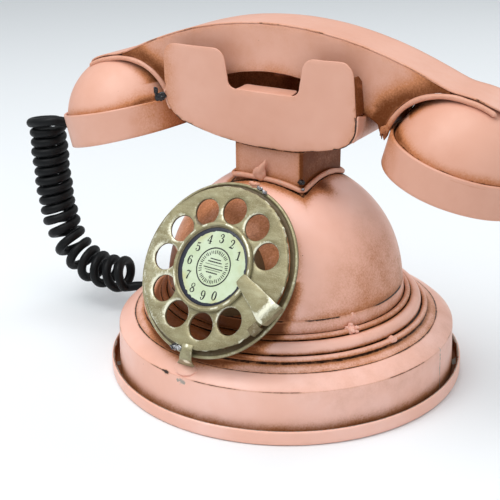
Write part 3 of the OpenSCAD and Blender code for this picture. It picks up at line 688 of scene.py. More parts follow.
SKIRT_R = TOP_BEAD[0] - TOP_BEAD[1] / 2 - GAP
LOW_BEAD_Z = tier_z(LOW_BEAD[0]) + 0.55
BIG_RING_Z = tier_z(BIG_RING[0]) + 0.35
TOP_BEAD_Z = BIG_RING_Z + math.sqrt(((BIG_RING[1] + TOP_BEAD[1]) / 2 + GAP) ** 2
                                    - (BIG_RING[0] - TOP_BEAD[0]) ** 2)

# Dial: its centre, and its axes as rows: across, up its face, outwards.
DIAL_TILT, DIAL_YAW = math.radians(32.6), math.radians(4)
DIAL_C = np.array([-0.8, -59.3, 66.7])
DIAL_AXES = np.array([
    [math.cos(DIAL_YAW), -math.sin(DIAL_YAW), 0],
    [math.sin(DIAL_YAW) * math.sin(DIAL_TILT), math.cos(DIAL_YAW) * math.sin(DIAL_TILT),
     math.cos(DIAL_TILT)],
    [-math.sin(DIAL_YAW) * math.cos(DIAL_TILT), -math.cos(DIAL_YAW) * math.cos(DIAL_TILT),
     math.sin(DIAL_TILT)]])


def on_dial(p):
    return np.array(p, float) @ DIAL_AXES + DIAL_C


def broken(p, size, seed, share=0.5):
    """1 along the stretches of a seam that show, 0 along the others."""
    return ramp(smooth_noise(p, size, seed), 0.35 - share, 0.75 - share)


def seam(distance, width=1.3):
    """Falls evenly from 1 on a seam to 0, so that the paint can draw a thin line."""
    return np.clip(1 - distance / width, 0, 1)


def shaded_by_dial(p):
    # Painted shadow of the dial: 1 behind it, shifted sideways with depth, fading beyond its edge
    # and far behind it.
    dial = (p - DIAL_C) @ DIAL_AXES.T
    away = np.hypot(dial[:, 0] - 0.42 * dial[:, 2], dial[:, 1] - 0.1 * dial[:, 2])
    return (1 - ramp(away, 35.5, 43.5)) * ramp(dial[:, 2], -50, -44)


# Seams as radius and height: brown beside the rings, partly spray and partly painted shade,
# then the dark line in each groove, partly dirt and partly painted shade, and its width.
RING_SHADE = ((66.6, 29.6, 1.5), (63.2, 31.2, 1.7), (58.0, 35.9, 1.4))
RING_DIRT_AND_SHADE = ((66.3, 29.6, 2.0), (63.2, 31.0, 2.7), (58.0, 35.6, 2.1), (55.3, 37.0, 2.0))
# Solder has run down the wall below the strap, and the seam is cracked beside it.
SMEAR_X, SMEAR_Z, CRACK_X, CRACK_Z = -6, 20.6, -14.5, 21.6


def base_tint(p):
    """Brown spray and dirty seams of everything that is turned about Z, with painted shade in the
    ring grooves and behind the dial.
    """
    r, z = np.hypot(p[:, 0], p[:, 1]), p[:, 2]
    wall = (r < WALL_R + 0.5) & (r > 77)
    brown = 0.62 * near(np.maximum(z - 3, 0), 4.5) * wall + 0.05 * near(z - WALL_TOP, 6)
    on_tier = (r < SHOULDER_IN_R + 0.1) * (r > 66)
    brown += 0.3 * near(np.maximum(SHOULDER_IN_R - r, 0), 2.6) * on_tier
    for ring_r, ring_z, spread in RING_SHADE:
        brown += 0.62 * near(np.hypot(r - ring_r, z - ring_z), spread)
    brown += 0.35 * near(np.hypot(r - 55.6, z - 38.2), 2.2)
    # Browner at the dome's foot, and towards the right partly spray and partly painted shade.
    brown += 0.22 * near(z - DOME_Z, 2.5) * (r > 50) + 0.10 * ramp(p[:, 0], 25, 60)
    # Painted shadow of the dial: what lies behind it is browned, more so low down.
    brown += (0.55 + 0.45 * (z < 60)) * shaded_by_dial(p)
    dirt = 0.92 * seam(np.hypot(r - WALL_TOP_R, z - WALL_TOP)) * (0.75 + 0.35 * broken(p, 26, 5))
    dirt += 1.2 * seam(np.hypot(r - SHOULDER_IN_R, z - 27.1)) * (0.85 + 0.3 * broken(p, 30, 6, 0.7))
    dirt += 1.2 * seam(np.hypot(r - DOME_R, z - DOME_Z)) * (0.85 + 0.3 * broken(p, 22, 7, 0.7))
    # Painted shade: the grooves between the rings are drawn dark, over the dirt in their joints.
    for ring_r, ring_z, width in RING_DIRT_AND_SHADE:
        dirt += 1.3 * seam(np.hypot(r - ring_r, z - ring_z), width)
    front = p[:, 1] < 0
    smear = np.hypot((p[:, 0] - SMEAR_X) / 1.7, z - SMEAR_Z) * front + 99 * (p[:, 1] > 0)
    dirt += 0.9 * seam(np.hypot(p[:, 0] - CRACK_X, z - CRACK_Z), 2.6) * wall * front
    return brown, dirt, 0.8 * near(smear, 2.4) * wall


def tray_tint(p):
    r, z = np.hypot(p[:, 0], p[:, 1]), p[:, 2]
    # Painted shade: inside the lip the tray is brown, dark low down, in the gap by the wall.
    inside_lip = (r < TRAY_R - 0.75) & (z > 0.3)
    brown = 0.95 * inside_lip + 0.2 * near(z, 0.8) * (r > 80)
    bare = 0.8 * near(np.hypot(r - 81.7, z - 6.5), 0.5) + 0.9 * inside_lip * broken(p, 16, 9, 0.15)
    return brown, 0.75 * inside_lip * (z < 4), bare


def neck_edge(x, y):
    """Distance outside the neck's square, seen from above."""
    return np.maximum(np.maximum(NECK_LOW[0] - x, x - NECK_HIGH[0]),
                      np.maximum(NECK_LOW[1] - y, y - NECK_HIGH[1]))


def dome_tint(p):
    brown, dirt, bare = base_tint(p)
    x, y, z = p.T
    # Brown sprayed up from the foot and round the neck, painted shade beside the dial,
    # and browner on the right, partly spray and partly painted shade.
    brown += 0.10 * (1 - ramp(z, 44, 62)) * (y < 30)
    out = neck_edge(x, y)
    brown += 0.7 * near(np.maximum(out - 1.5, 0), 3.6) * (z > 78)
    brown += 0.7 * near(np.hypot(x - 24, y + 6), 4.6) + 0.26 * ramp(x, 30, 56)
    # Painted shadow: a dark line on the dome under the wire.
    dirt += 1.6 * seam(np.abs(out - 1.3), 1.6) * (z > 82)
    return brown, dirt, bare


def turned_piece(name, section, tint=base_tint, step=0.9):
    enamel(name, turned(section, step), tint, material=rose)


def sheet_ring(name, line, step):
    turned_piece(name, rounded_strip(line, SHEET, 3), step=step)


NECK_LOW, NECK_HIGH = (-15.9, -16.9), (17.9, 19.7)

turned_piece("foot_tray", [(0.3, 0), (81.3, 0), *arc((81.3, 1.2), 1.2, -80, -5, 5),
                           (82.5, LIP_H - 0.8), *arc((81.7, LIP_H - 0.8), 0.8, 15, 195, 10),
                           (81.68, 4.6), (81.6, 1.6), (80.8, SHEET), (0.3, SHEET)],
             tray_tint, step=1.4)
sheet_ring("base_wall", [(WALL_TOP_R, WALL_TOP), (WALL_R, SHEET)], 0.7)
chord = math.hypot(SHOULDER_W, SHOULDER_RISE)
curve_r = chord ** 2 / (8 * SHOULDER_BULGE) + SHOULDER_BULGE / 2
curve_c = ((SHOULDER_IN_R + WALL_TOP_R) / 2 - (curve_r - SHOULDER_BULGE) * SHOULDER_RISE / chord,
           WALL_TOP + SHOULDER_RISE / 2 - (curve_r - SHOULDER_BULGE) * SHOULDER_W / chord)
curve_ends = [math.degrees(math.atan2(z - curve_c[1], r - curve_c[0]))
              for r, z in ((SHOULDER_IN_R, WALL_TOP + SHOULDER_RISE), (WALL_TOP_R, WALL_TOP + GAP))]
curve = arc(curve_c, curve_r, curve_ends[0] - 0.2, curve_ends[1] + 0.5, 18)
sheet_ring("shoulder_ring", curve, 0.5)
sheet_ring("tier_plate", [(r, tier_z(r)) for r in (TIER_IN_R, SHOULDER_IN_R - GAP)], 0.6)


for name, (ring_r, ring_d), ring_z, step in (("low_bead", LOW_BEAD, LOW_BEAD_Z, 0.3),
                                             ("big_ring", BIG_RING, BIG_RING_Z, 0.5),
                                             ("top_bead", TOP_BEAD, TOP_BEAD_Z, 0.3)):
    # Each is round, but cut where it lies on the tier plate.
    turned_piece(name, [(r, max(z, tier_z(r) + GAP))
                        for r, z in arc((ring_r, ring_z), ring_d / 2, 0, 354, 59)], step=step)
sheet_ring("dome_skirt", [(DOME_R + 0.4, DOME_Z - GAP), (SKIRT_R, TOP_BEAD_Z),
                          (SKIRT_R, tier_z(SKIRT_R - SHEET) + GAP)], 0.4)
low_angle = math.degrees(math.asin((DOME_Z + 0.1 - DOME_C) / DOME_R))
dome_outer = arc((0, DOME_C), DOME_R, low_angle, 89.7, 100)
dome_inner = arc((0, DOME_C), DOME_R - SHEET, 89.7, low_angle + 0.2, 60)
turned_piece("dome", dome_outer + dome_inner, dome_tint, step=1.0)


# ---------------------------------------------------------------- neck
WIRE_D = 2.3
KEEL_R = 137.0
KEEL_C = (1.0, 108.3 + KEEL_R)


def keel_z(x):
    return KEEL_C[1] - math.sqrt(KEEL_R ** 2 - (x - KEEL_C[0]) ** 2)


def dome_top(x, y, more=0.0):
    return DOME_C + math.sqrt(max((DOME_R + more) ** 2 - x * x - y * y, 0))


def box_line(out, radius, steps=5):
    """The neck's outline, moved outwards, with rounded corners."""
    (x0, y0), (x1, y1) = NECK_LOW, NECK_HIGH
    x0, y0, x1, y1 = x0 - out, y0 - out, x1 + out, y1 + out
    corners = ((x1 - radius, y1 - radius), (x0 + radius, y1 - radius),
               (x0 + radius, y0 + radius), (x1 - radius, y0 + radius))
    line = []
    for k, corner in enumerate(corners):
        line += arc(corner, radius, 90 * k, 90 * k + 90, steps)
    return line


def neck_points():
    """A square tube between the dome and the cradle, its corners slightly rounded."""
    outline = np.array(spaced(box_line(0, 0.9), 1.1, closed=True))
    inner = inset(outline, SHEET)
    rows = [i / 14 for i in range(15)]
    points = [[(x, y, dome_top(x, y) + low + (keel_z(x) - high - dome_top(x, y)) * t)
               for x, y in loop]
              for loop, low, high, share in ((outline, GAP, 2 * GAP, rows),
                                             (inner, GAP + 0.3, 0.6, rows[::-1])) for t in share]
    return np.array(points).reshape(-1, 3), loop_faces(len(points), len(outline), True, True)


def neck_tint(p):
    x, y, z = p.T
    corner = np.hypot(np.minimum(x - NECK_LOW[0], NECK_HIGH[0] - x),
                      np.minimum(y - NECK_LOW[1], NECK_HIGH[1] - y))
    foot = z - np.array([dome_top(*q) for q in p[:, :2]])
    head = np.array([keel_z(v) for v in x]) - z
    brown = 0.4 * near(foot, 4) + 0.25 * near(corner, 2.5) + 0.25 * near(head, 2.0)
    brown += 1.1 * (x > NECK_HIGH[0] - 1.0) * (0.65 + 0.35 * near(head, 6))
    brown += 0.2
    # Painted shadow: a dark line across the neck just under the cradle's lower edge.
    dirt = 1.4 * seam(np.abs(head - 1.1), 1.5) * (0.85 + 0.3 * broken(p, 12, 31, 0.8))
    dirt += 0.85 * seam(corner) * broken(p, 9, 32, 0.6)
    return brown, dirt, 0


enamel("neck", neck_points(), neck_tint)


def wire_path():
    """A wire laid round the neck in the corner above the dome."""
    path = []
    for x, y in spaced(box_line(WIRE_D / 2 + GAP, 2.6, 8), 0.7, closed=True):
        # It is stiffer than the dome is round, and stands off at the front corners.
        off = 1.9 * near(np.hypot(x + 17, y + 18), 9) + 0.5 * near(np.hypot(x - 19, y + 18), 6)
        path.append((x, y, dome_top(x, y, WIRE_D / 2 + GAP) + off))
    return path


def wire_tint(p):
    inner = near(neck_edge(p[:, 0], p[:, 1]) - 0.2, 0.8)
    return 0.22 + 0.55 * inner, 0, 0.5 * broken(p, 9, 43, 0.1) * (1 - inner)


path = wire_path()
thick = WIRE_D / 2 * (1 + 0.06 * smooth_noise(np.array(path), 11, 41))
enamel("neck_wire", swept(path, thick, sides=20, closed=True, across=(0, 0, 1)), wire_tint)


# ---------------------------------------------------------------- cradle
HALF_DEPTH = 20.0
RIGHT_REACH, LEFT_REACH = 44.0, 50.6
RIGHT_R, LEFT_R = 10.7, 14.0
PRONG_TOP, PRONG_ROUND = 149.0, 6.0
NOTCH_HALF, NOTCH_Z, NOTCH_R, NOTCH_LIP = 17.5, 132.5, 4.0, 7.0
TIP_X, TIP_SLOPE = 49.5, 1.84
HANDLE_LOW, LOW_FALL = 139.5, 0.0066
TORN_X, TORN_Z, CRACK_UP_X = 42.1, 118.2, 43.3


def corner_centre(x, radius):
    return (x, KEEL_C[1] - math.sqrt((KEEL_R - radius) ** 2 - (x - KEEL_C[0]) ** 2))


RIGHT_C = corner_centre(RIGHT_REACH - RIGHT_R, RIGHT_R)
LEFT_C = corner_centre(LEFT_R - LEFT_REACH, LEFT_R)
RIGHT_TOP = (RIGHT_REACH - 1.7, PRONG_TOP)
LEFT_TOP = (-LEFT_REACH - 0.4, PRONG_TOP)


def from_keel(c):
    return 360 + math.degrees(math.atan2(c[1] - KEEL_C[1], c[0] - KEEL_C[0]))


def keel_line(d, steps=1):
    """From the top of the left corner along the keel to the top of the right one."""
    return (arc(LEFT_C, LEFT_R - d, 180, from_keel(LEFT_C), 20 * steps)[:-1]
            + arc(KEEL_C, KEEL_R - d, from_keel(LEFT_C), from_keel(RIGHT_C), 40 * steps)[:-1]
            + arc(RIGHT_C, RIGHT_R - d, from_keel(RIGHT_C), 360, 16 * steps))


def low_z(x):
    return HANDLE_LOW - LOW_FALL * x * x


def plate_outline():
    """The saddle with its notch and the rounded tops of its four prongs."""
    flare, r, top = 1.5, PRONG_ROUND, PRONG_TOP
    inner = NOTCH_HALF + flare
    return (keel_line(0)
            + arc((RIGHT_TOP[0] - r, top - r), r, 0, 90, 8)
            + arc((inner - 0.3 + r, top - r), r, 90, 165, 8)
            + arc((NOTCH_HALF - NOTCH_R, NOTCH_Z + NOTCH_R), NOTCH_R, 0, -90, 8)
            + arc((NOTCH_R - NOTCH_HALF, NOTCH_Z + NOTCH_R), NOTCH_R, 270, 180, 8)
            + arc((0.3 - inner - r, top - r), r, 15, 90, 8)
            + arc((LEFT_TOP[0] + r, top - r), r, 90, 180, 8))


def cradle_tint(side):
    """Brown at the ends and along the keel, dark where it is soldered to the floor; that dark line
    is partly painted shade.
    """
    def tint(p):
        x, z = p[:, 0], p[:, 2]
        keel = z - np.array([keel_z(v) for v in np.clip(x, -45, 40)])
        outside = side * p[:, 1] > HALF_DEPTH - 0.5
        brown = 0.24 * near(x - RIGHT_REACH, 4) + 0.4 * near(x + LEFT_REACH, 6)
        on_lip = ((np.abs(x) < NOTCH_HALF - 2) & (np.abs(z - NOTCH_Z) < 1.9)
                  & (side * p[:, 1] > HALF_DEPTH - 8.5))
        brown += 0.14 * near(keel, 5) + 0.72 * ~(outside | on_lip)
        brown += 0.10 * near(z - NOTCH_Z, 2) * (np.abs(x) < NOTCH_HALF)
        dirt = 1.1 * seam(np.abs(keel), 1.2) * (0.75 + 0.35 * broken(p, 14, 51, 0.5))
        dirt *= np.abs(x) < 46
        end = np.hypot(x - RIGHT_C[0], z - RIGHT_C[1]) - RIGHT_R
        dirt += (1.1 * seam(np.abs(end), 1.2) * (x > RIGHT_C[0]) * (z < RIGHT_C[1] + 3)
                 * broken(p, 8, 52, 0.8))
        dirt += (1.0 * seam(np.abs(x - RIGHT_REACH + 1.0), 1.0) * (z > RIGHT_C[1])
                 * broken(p, 7, 53, 0.5))
        end = np.hypot(x - LEFT_C[0], z - LEFT_C[1]) - LEFT_R
        dirt += (1.0 * seam(np.abs(end), 1.2) * (x < LEFT_C[0]) * (z < LEFT_C[1] + 6)
                 * broken(p, 8, 54, 0.6))
        # The front right corner is torn, and a crack runs up from the tear.
        tear = 1.3 * seam(np.hypot(x - TORN_X, z - TORN_Z), 2.0)
        tear += 1.2 * seam(np.abs(x - CRACK_UP_X), 0.9) * (z > 119) * (z < 128)
        dirt += tear * (side < 0) * outside
        return brown, dirt, 0.4 * near(z - NOTCH_Z, 0.4) * (np.abs(x) < 14) * outside
    return tint


def across_y(side, depth=HALF_DEPTH):
    """Stands a flat plate up in X and Z, its outer face at depth."""
    return lambda q: np.column_stack([q[:, 0], side * (depth - SHEET + q[:, 2]), q[:, 1]])


def fold(side, top, low, width, inwards):
    """A flange folded in round a plate's end, on a tight bend."""
    depth = HALF_DEPTH - SHEET
    top = (top[0], top[1] - PRONG_ROUND)
    length = top[1] - low[1]
    outline = [(0.02, 0), (width - SHEET - 1.5, 0), (width - SHEET, 1.8),
               (width - SHEET, length - 2.5), (width - SHEET - 2.5, length), (0.02, length)]

    def place(q):
        t = q[:, 1] / length
        x = low[0] + (top[0] - low[0]) * t + inwards * (SHEET - q[:, 2])
        return np.column_stack([x, side * (depth - q[:, 0]), low[1] + q[:, 1]])
    return plate([outline], SHEET, place=place, edge=0.22)


def notch_lip(side):
    """The tongue folded back from the notch, rising a little towards its free edge."""
    half = NOTCH_HALF - NOTCH_R
    outline = [(-half, 0.05), (half, 0.05), (half - 0.6, NOTCH_LIP - 1), (half - 1.6, NOTCH_LIP),
               (1.6 - half, NOTCH_LIP), (0.6 - half, NOTCH_LIP - 1)]

    def place(q):
        droop = -0.014 * q[:, 1] ** 2
        return np.column_stack([q[:, 0], side * (HALF_DEPTH - SHEET - q[:, 1]),
                                NOTCH_Z - SHEET + q[:, 2] - droop])
    return plate([outline], SHEET, place=place, edge=0.2, rough=0.06, seed=60)


for side, word in SIDES:
    parts = [plate([plate_outline()], SHEET, place=across_y(side), edge=0.28, rough=0.08, seed=61),
             fold(side, RIGHT_TOP, (RIGHT_REACH, RIGHT_C[1] + 4), 7.3, -1),
             fold(side, LEFT_TOP, (-LEFT_REACH, LEFT_C[1] + 1), 6.5, 1),
             notch_lip(side)]
    enamel(f"cradle_{word}_plate", joined(parts), cradle_tint(side))


def floor_line():
    """The floor strip's outer face, from the top of one end wall to the other."""
    def under(x):
        return low_z(x) if abs(x) < TIP_X else low_z(TIP_X) - TIP_SLOPE * (abs(x) - TIP_X)
    line = [q for q in keel_line(0, 2) if q[1] < under(q[0]) - 0.7]
    wall = np.linspace(line[-1][1], low_z(RIGHT_REACH) - 0.3, 5)[1:]
    return line + [(RIGHT_REACH, z) for z in wall]


def along_line(line):
    """Bends a flat plate along a line: u runs along it, w is inwards from it."""
    p = np.array(line, float)
    run, n = running(p), left(heading(p))

    def place(q):
        foot, side = (np.column_stack([np.interp(q[:, 0], run, v[:, k]) for k in (0, 1)])
                      for v in (p, n))
        foot = foot + side * q[:, 2:3]
        return np.column_stack([foot[:, 0], q[:, 1], foot[:, 1]])
    return place, run[-1]


def floor_tint(p):
    x, y, z = p.T
    brown = 0.5 * near(np.abs(y) - HALF_DEPTH, 4) + 0.3
    brown += 0.4 * ((x > 43) | (x < -47)) * near(z - 126, 6)
    return brown, 0.95 * seam(HALF_DEPTH - np.abs(y), 2.0) * broken(p, 8, 55, 0.6), 0.25 * (x > 40)


place, run = along_line(floor_line())
enamel("cradle_floor", sheet_strip(run, HALF_DEPTH - SHEET - 0.02, place), floor_tint)


def tab(side, end):
    """A tab folded round the outside of an end wall and soldered at its corners."""
    centre, radius, width = ((RIGHT_C, RIGHT_R, 7.4) if end > 0 else (LEFT_C, LEFT_R, 6.0))
    r = radius + GAP + SHEET
    if end > 0:
        line = arc(centre, r, -38, 0, 10) + [(centre[0] + r, centre[1] + z) for z in (1.5, 3, 4.5)]
    else:
        line = arc(centre, r, 180, 218, 10)
    place, run = along_line(line)
    outline = [(0.6, 0.1), (run - 0.4, 0), (run, 0.8), (run - 1.6, width), (1.2, width - 0.5),
               (0, 1)]

    def stand(q):
        q = q.copy()
        q[:, 1] = side * (HALF_DEPTH - q[:, 1])
        return place(q)
    return plate([outline], SHEET, place=stand, edge=0.25, rough=0.12, seed=65 + end + side)


def tab_tint(p):
    y = np.abs(p[:, 1])
    return 0.2 + 0.3 * near(y - 13, 1.5), 0.9 * seam(np.abs(y - 12.8), 0.8), 0.5 * near(y - 20, 0.6)


for side, word in SIDES:
    for end, hand in ENDS:
        enamel(f"tab_{word}_{hand}", tab(side, end), tab_tint)


# ---------------------------------------------------------------- handset
HANDLE_W = 24.0
PANEL_Y = HANDLE_W / 2
CUP_X, CUP_Z, CUP_TILT, CUP_R = 81.6, 100.7, math.radians(15.2), 33.0
BAND_H, CUP_DOME_H = 14.2, 5.6
CUP_DOME_R = CUP_R - SHEET - 0.2
CUP_C = np.array([CUP_X + CUP_DOME_H * math.sin(CUP_TILT),
                  CUP_Z + CUP_DOME_H * math.cos(CUP_TILT)])
HANDLE_TOP, TOP_FALL, NOSE_REACH = 159.4, 0.00313, 106.0
STRIP_R = CUP_DOME_R + 0.35
BEAD_R = 1.15
OVER_C = CUP_C - np.array([4.07, 0.6])
OVER_R = CUP_DOME_R + 0.5
TIP_TURN, TIP_R, TIP_END_Z = 105.0, 24.5, 117.2
TIP_C = OVER_C + (OVER_R - TIP_R) * np.array(polar(1, math.radians(TIP_TURN)))
TIP_END = 180 - math.degrees(math.asin((TIP_END_Z - TIP_C[1]) / TIP_R))
PANEL_END = 80.0


def top_z(x):
    """Upper edge of the side panels: an arch that runs down on to the cups."""
    arched = HANDLE_TOP - TOP_FALL * x * x
    over = CUP_C[1] + math.sqrt(max(0.0, STRIP_R ** 2 - (abs(x) - CUP_C[0]) ** 2))
    return (arched + over + math.sqrt((arched - over) ** 2 + 4)) / 2


def panel_half():
    """Lower edge of the right half, from over the cup to the middle."""
    edge = BEAD_R + GAP
    r = OVER_R + edge
    start = math.degrees(math.acos((PANEL_END - OVER_C[0]) / r))
    return (arc(OVER_C, r, start, TIP_TURN, 14)[:-1]
            + arc(TIP_C, TIP_R + edge, TIP_TURN, TIP_END, 16)
            + [(x, low_z(x)) for x in np.linspace(TIP_X, 2, 24)])


def handset_tint(p):
    """Sprayed brown beside the beads and towards the tips, darker in the creases."""
    x, z = np.abs(p[:, 0]), p[:, 2]
    bead = np.where(np.degrees(np.arctan2(z - OVER_C[1], x - OVER_C[0])) < TIP_TURN,
                    np.hypot(x - OVER_C[0], z - OVER_C[1]) - OVER_R,
                    np.hypot(x - TIP_C[0], z - TIP_C[1]) - TIP_R)
    tip = np.hypot(x - 51.9, z - 119.2)
    brown = 0.75 * near(np.maximum(bead - 1.5, 0), 7) * (x > 48) + 0.8 * near(tip, 13)
    brown += 0.25 * near(z - np.array([low_z(v) for v in x]), 3.5) * (x < 52) + 0.12
    brown += 0.12 * near(np.array([top_z(v) for v in x]) - z, 1.5)
    dirt = 0.95 * seam(np.abs(bead - 1.2), 1.2) * broken(p, 9, 71, 0.7) * (x > 50) + seam(tip, 3)
    return brown, dirt, 0


for side, word in SIDES:
    half = panel_half()
    top = [(x, top_z(x)) for x in np.linspace(-PANEL_END, PANEL_END, 81)]
    outline = top + half + [(-x, z) for x, z in half[::-1]]
    shape = plate([outline], SHEET, place=across_y(side, PANEL_Y), edge=0.2, rough=0.05, seed=72)
    enamel(f"handle_{word}", shape, handset_tint, "handset")


def top_tint(p):
    x, y = np.abs(p[:, 0]), np.abs(p[:, 1])
    brown = 0.22 * near(y - PANEL_Y, 1.6) + 0.5 * near(x - NOSE_REACH, 2)
    return brown, 0.9 * seam(np.abs(y - PANEL_Y), 0.8) * broken(p, 20, 74, 0.2), 0


line = [(x, top_z(x) + GAP + SHEET) for x in np.linspace(-NOSE_REACH, NOSE_REACH, 160)]
place, run = along_line(line[::-1])
nose = PANEL_Y + 4
outline = arc((nose - 2, 0), PANEL_Y, 90, 270, 24) + arc((run - nose + 2, 0), PANEL_Y, -90, 90, 24)
shape = plate([outline], SHEET, place=place, edge=0.3, rough=0.06, seed=75)
enamel("handle_top", shape, top_tint, "handset")

line = [(x, low_z(x) + SHEET) for x in np.linspace(-TIP_X, TIP_X, 80)]
place, run = along_line(line[::-1])
enamel("handle_bottom", sheet_strip(run, PANEL_Y - SHEET - 0.02, place),
       lambda p: (0.35 + 0.5 * near(np.abs(p[:, 0]) - TIP_X, 6), 0, 0), "handset")


def saddle_points(end):
    """The strip that closes the handle's underside along the arch over a cup."""
    r = BEAD_R + GAP + SHEET
    line = (arc(OVER_C, OVER_R + r, 95, TIP_TURN, 6)[:-1]
            + arc(TIP_C, TIP_R + r, TIP_TURN, TIP_END - 2, 22))
    if end < 0:
        line = [(-x, z) for x, z in line[::-1]]
    place, run = along_line(line[::-1])
    return sheet_strip(run, PANEL_Y - SHEET - GAP - 0.02, place)


# Painted shade: the strips under the handle are brown all over and dark along their sides.
for end, hand in ENDS:
    enamel(f"handle_saddle_{hand}", saddle_points(end),
           lambda p: (0.9, 0.7 * seam(PANEL_Y - np.abs(p[:, 1]), 3), 0), "handset")

along_r = math.sqrt((CUP_DOME_R + BEAD_R + 0.15) ** 2 - PANEL_Y ** 2)
arc_gap = float(np.hypot(*(CUP_C - OVER_C)))
arc_lean = math.degrees(math.atan2(CUP_C[1] - OVER_C[1], CUP_C[0] - OVER_C[0]))
over_start = arc_lean + math.degrees(math.acos(
    (arc_gap ** 2 + OVER_R ** 2 - along_r ** 2) / (2 * arc_gap * OVER_R)))
along_end = arc_lean + math.degrees(math.acos(
    (OVER_R ** 2 - arc_gap ** 2 - along_r ** 2) / (2 * arc_gap * along_r)))


def bead_tint(p):
    x, z = np.abs(p[:, 0]), p[:, 2]
    tip = np.hypot(x - 52.5, z - 118)
    return 0.2 + 0.6 * near(tip, 8) + 0.5 * (np.abs(p[:, 1]) < PANEL_Y - 0.3), seam(tip, 3.5), 0


for side, word in SIDES:
    for end, hand in ENDS:
        line = (arc(CUP_C, along_r, 58, along_end, 26)
                + arc(OVER_C, OVER_R, over_start, TIP_TURN, 22)[1:]
                + arc(TIP_C, TIP_R, TIP_TURN, TIP_END, 26)[1:])
        path = np.array([(end * x, side * PANEL_Y, z) for x, z in line])
        thick = round_ends(len(path), BEAD_R, 3) * (1 + 0.06 * smooth_noise(path, 9, 76 + end))
        enamel(f"arch_bead_{word}_{hand}", swept(path, thick, sides=18), bead_tint, "handset")


def bent(u):
    """How far the left cup's seam rises: it is bent up towards the cord."""
    return 0.8 + 0.042 * u


def at_cup(end):
    """Points made about a cup's axis, mouth at zero, put in place."""
    c, s = polar(1, CUP_TILT)

    def place(q):
        q = np.array(q, float)
        if end < 0:
            q[:, 2] += bent(q[:, 0]) * np.clip(q[:, 2] / BAND_H, 0, 1)
        return np.column_stack([end * (CUP_X + q[:, 0] * c + q[:, 2] * s), q[:, 1],
                                CUP_Z - q[:, 0] * s + q[:, 2] * c])
    return place


def cup_tint(end, part):
    """Brown in the crease between band and dome, most of it towards the cradle."""
    c, s = polar(1, CUP_TILT)

    def tint(p):
        x, z = end * p[:, 0] - CUP_X, p[:, 2] - CUP_Z
        u, h = x * c - z * s, x * s + z * c
        h = h - bent(u) * (end < 0)
        inner = ramp(-u, 6, 30)
        if part == "dome":
            brown = 0.5 * near(h - BAND_H, 2.6) + 0.45 * inner * near(h - BAND_H, 9)
            brown += 0.7 * near(np.maximum(np.abs(p[:, 1]) - PANEL_Y, 0), 3) * inner * (h > 22)
            dirt = seam(np.abs(h - BAND_H + 0.2), 1.5) * (0.75 + 0.3 * broken(p, 15, 77, 0.7))
            return brown, dirt, 0
        brown = 0.10 * near(h - BAND_H, 1.0) + 0.55 * ramp(-u, 14, 34) + 0.15 * near(h, 1.5)
        dirt = 0.8 * seam(np.abs(h - BAND_H + 1.6), 0.8) * broken(p, 18, 78, 0.3)
        return brown, dirt, 0.4 * near(h, 0.4) * broken(p, 8, 79, 0.3)
    return tint


# The band's top edge is rolled in; the mouth plate lies a little way up inside it.
ROLL, MOUTH_Z, MOUTH_HOLE_R = 0.7, 2.2, 1.5
band = ([(CUP_R - SHEET, 0.15), (CUP_R - 0.62, 0), (CUP_R - 0.15, 0.05), (CUP_R, 0.3),
         (CUP_R, BAND_H - 1.5)] + arc((CUP_R - ROLL, BAND_H - ROLL), ROLL, 0, 180, 10)
        + [(CUP_R - 2 * ROLL + 0.1, BAND_H - 1.2), (CUP_R - SHEET, BAND_H - 1.8)])
dome = (arc((0, CUP_DOME_H), CUP_DOME_R, 0, 89.6, 60)
        + arc((0, CUP_DOME_H), CUP_DOME_R - SHEET, 89.6, 0, 40))
HOLES = [(0.0, 0.0), *arc((0, 0), 9, 0, 300, 5)]
for end, hand in ENDS:
    for part, section, step in (("band", band, 0.9), ("dome", dome, 1.0)):
        points, faces = turned(section, step, 240)
        enamel(f"cup_{part}_{hand}", (at_cup(end)(points), faces), cup_tint(end, part), "handset")
    loops = [arc((0, 0), CUP_R - SHEET - GAP, 0, 357, 119)]
    loops += [arc(hole, MOUTH_HOLE_R, 0, 345, 23) for hole in HOLES]
    points, faces = plate(loops, SHEET, edge=0.2)
    points[:, 2] += MOUTH_Z
    piece(f"mouth_plate_{hand}", at_cup(end)(points), faces, bare_tin, "handset", "bare_tin",
          [f"mouth_plate_{hand}"],
          lambda p: (0.5 * near(np.hypot(np.abs(p[:, 0]) - CUP_X, p[:, 1]) - 31, 4), 0, 0))


# ---------------------------------------------------------------- dial
WHEEL_R, WHEEL_T = 35.6, 1.5
HOLE_RING, HOLE_R, FIRST_HOLE, HOLE_STEP = 25.2, 5.75, 23.0, 31.7
RING_R, RING_IN_R = 38.1, 34.4
RING_TOP = -WHEEL_T - 1.9
LIP_R = 0.8
LIP_Z = RING_TOP - 0.2
RIM_R, RIM_H = 19.3, 2.0
CARD_R, CARD_Z, CARD_T, INK_T = 16.9, 0.4, 0.5, 0.05
CAN_R, CAN_DEPTH = 17.5, 18.0
HOLE_CENTRES = [polar(HOLE_RING, math.radians(FIRST_HOLE + HOLE_STEP * k)) for k in range(10)]


def dial_parts(p):
    """Distance from the dial's axis, height over the wheel and place on the dial."""
    q = (p - DIAL_C) @ DIAL_AXES.T
    return np.hypot(q[:, 0], q[:, 1]), q[:, 2], q


def hole_edge(q):
    """Distance from the edge of the nearest finger hole."""
    away = [np.hypot(q[:, 0] - x, q[:, 1] - y) for x, y in HOLE_CENTRES]
    return np.abs(np.min(away, axis=0) - HOLE_R)


def gold_piece(name, points, faces, tint):
    piece(name, points, faces, gold, "base", "gold_paint", [name], tint)


def turned_gold(name, section, step, tint):
    points, faces = turned(section, step, 240)
    gold_piece(name, on_dial(points), faces, tint)


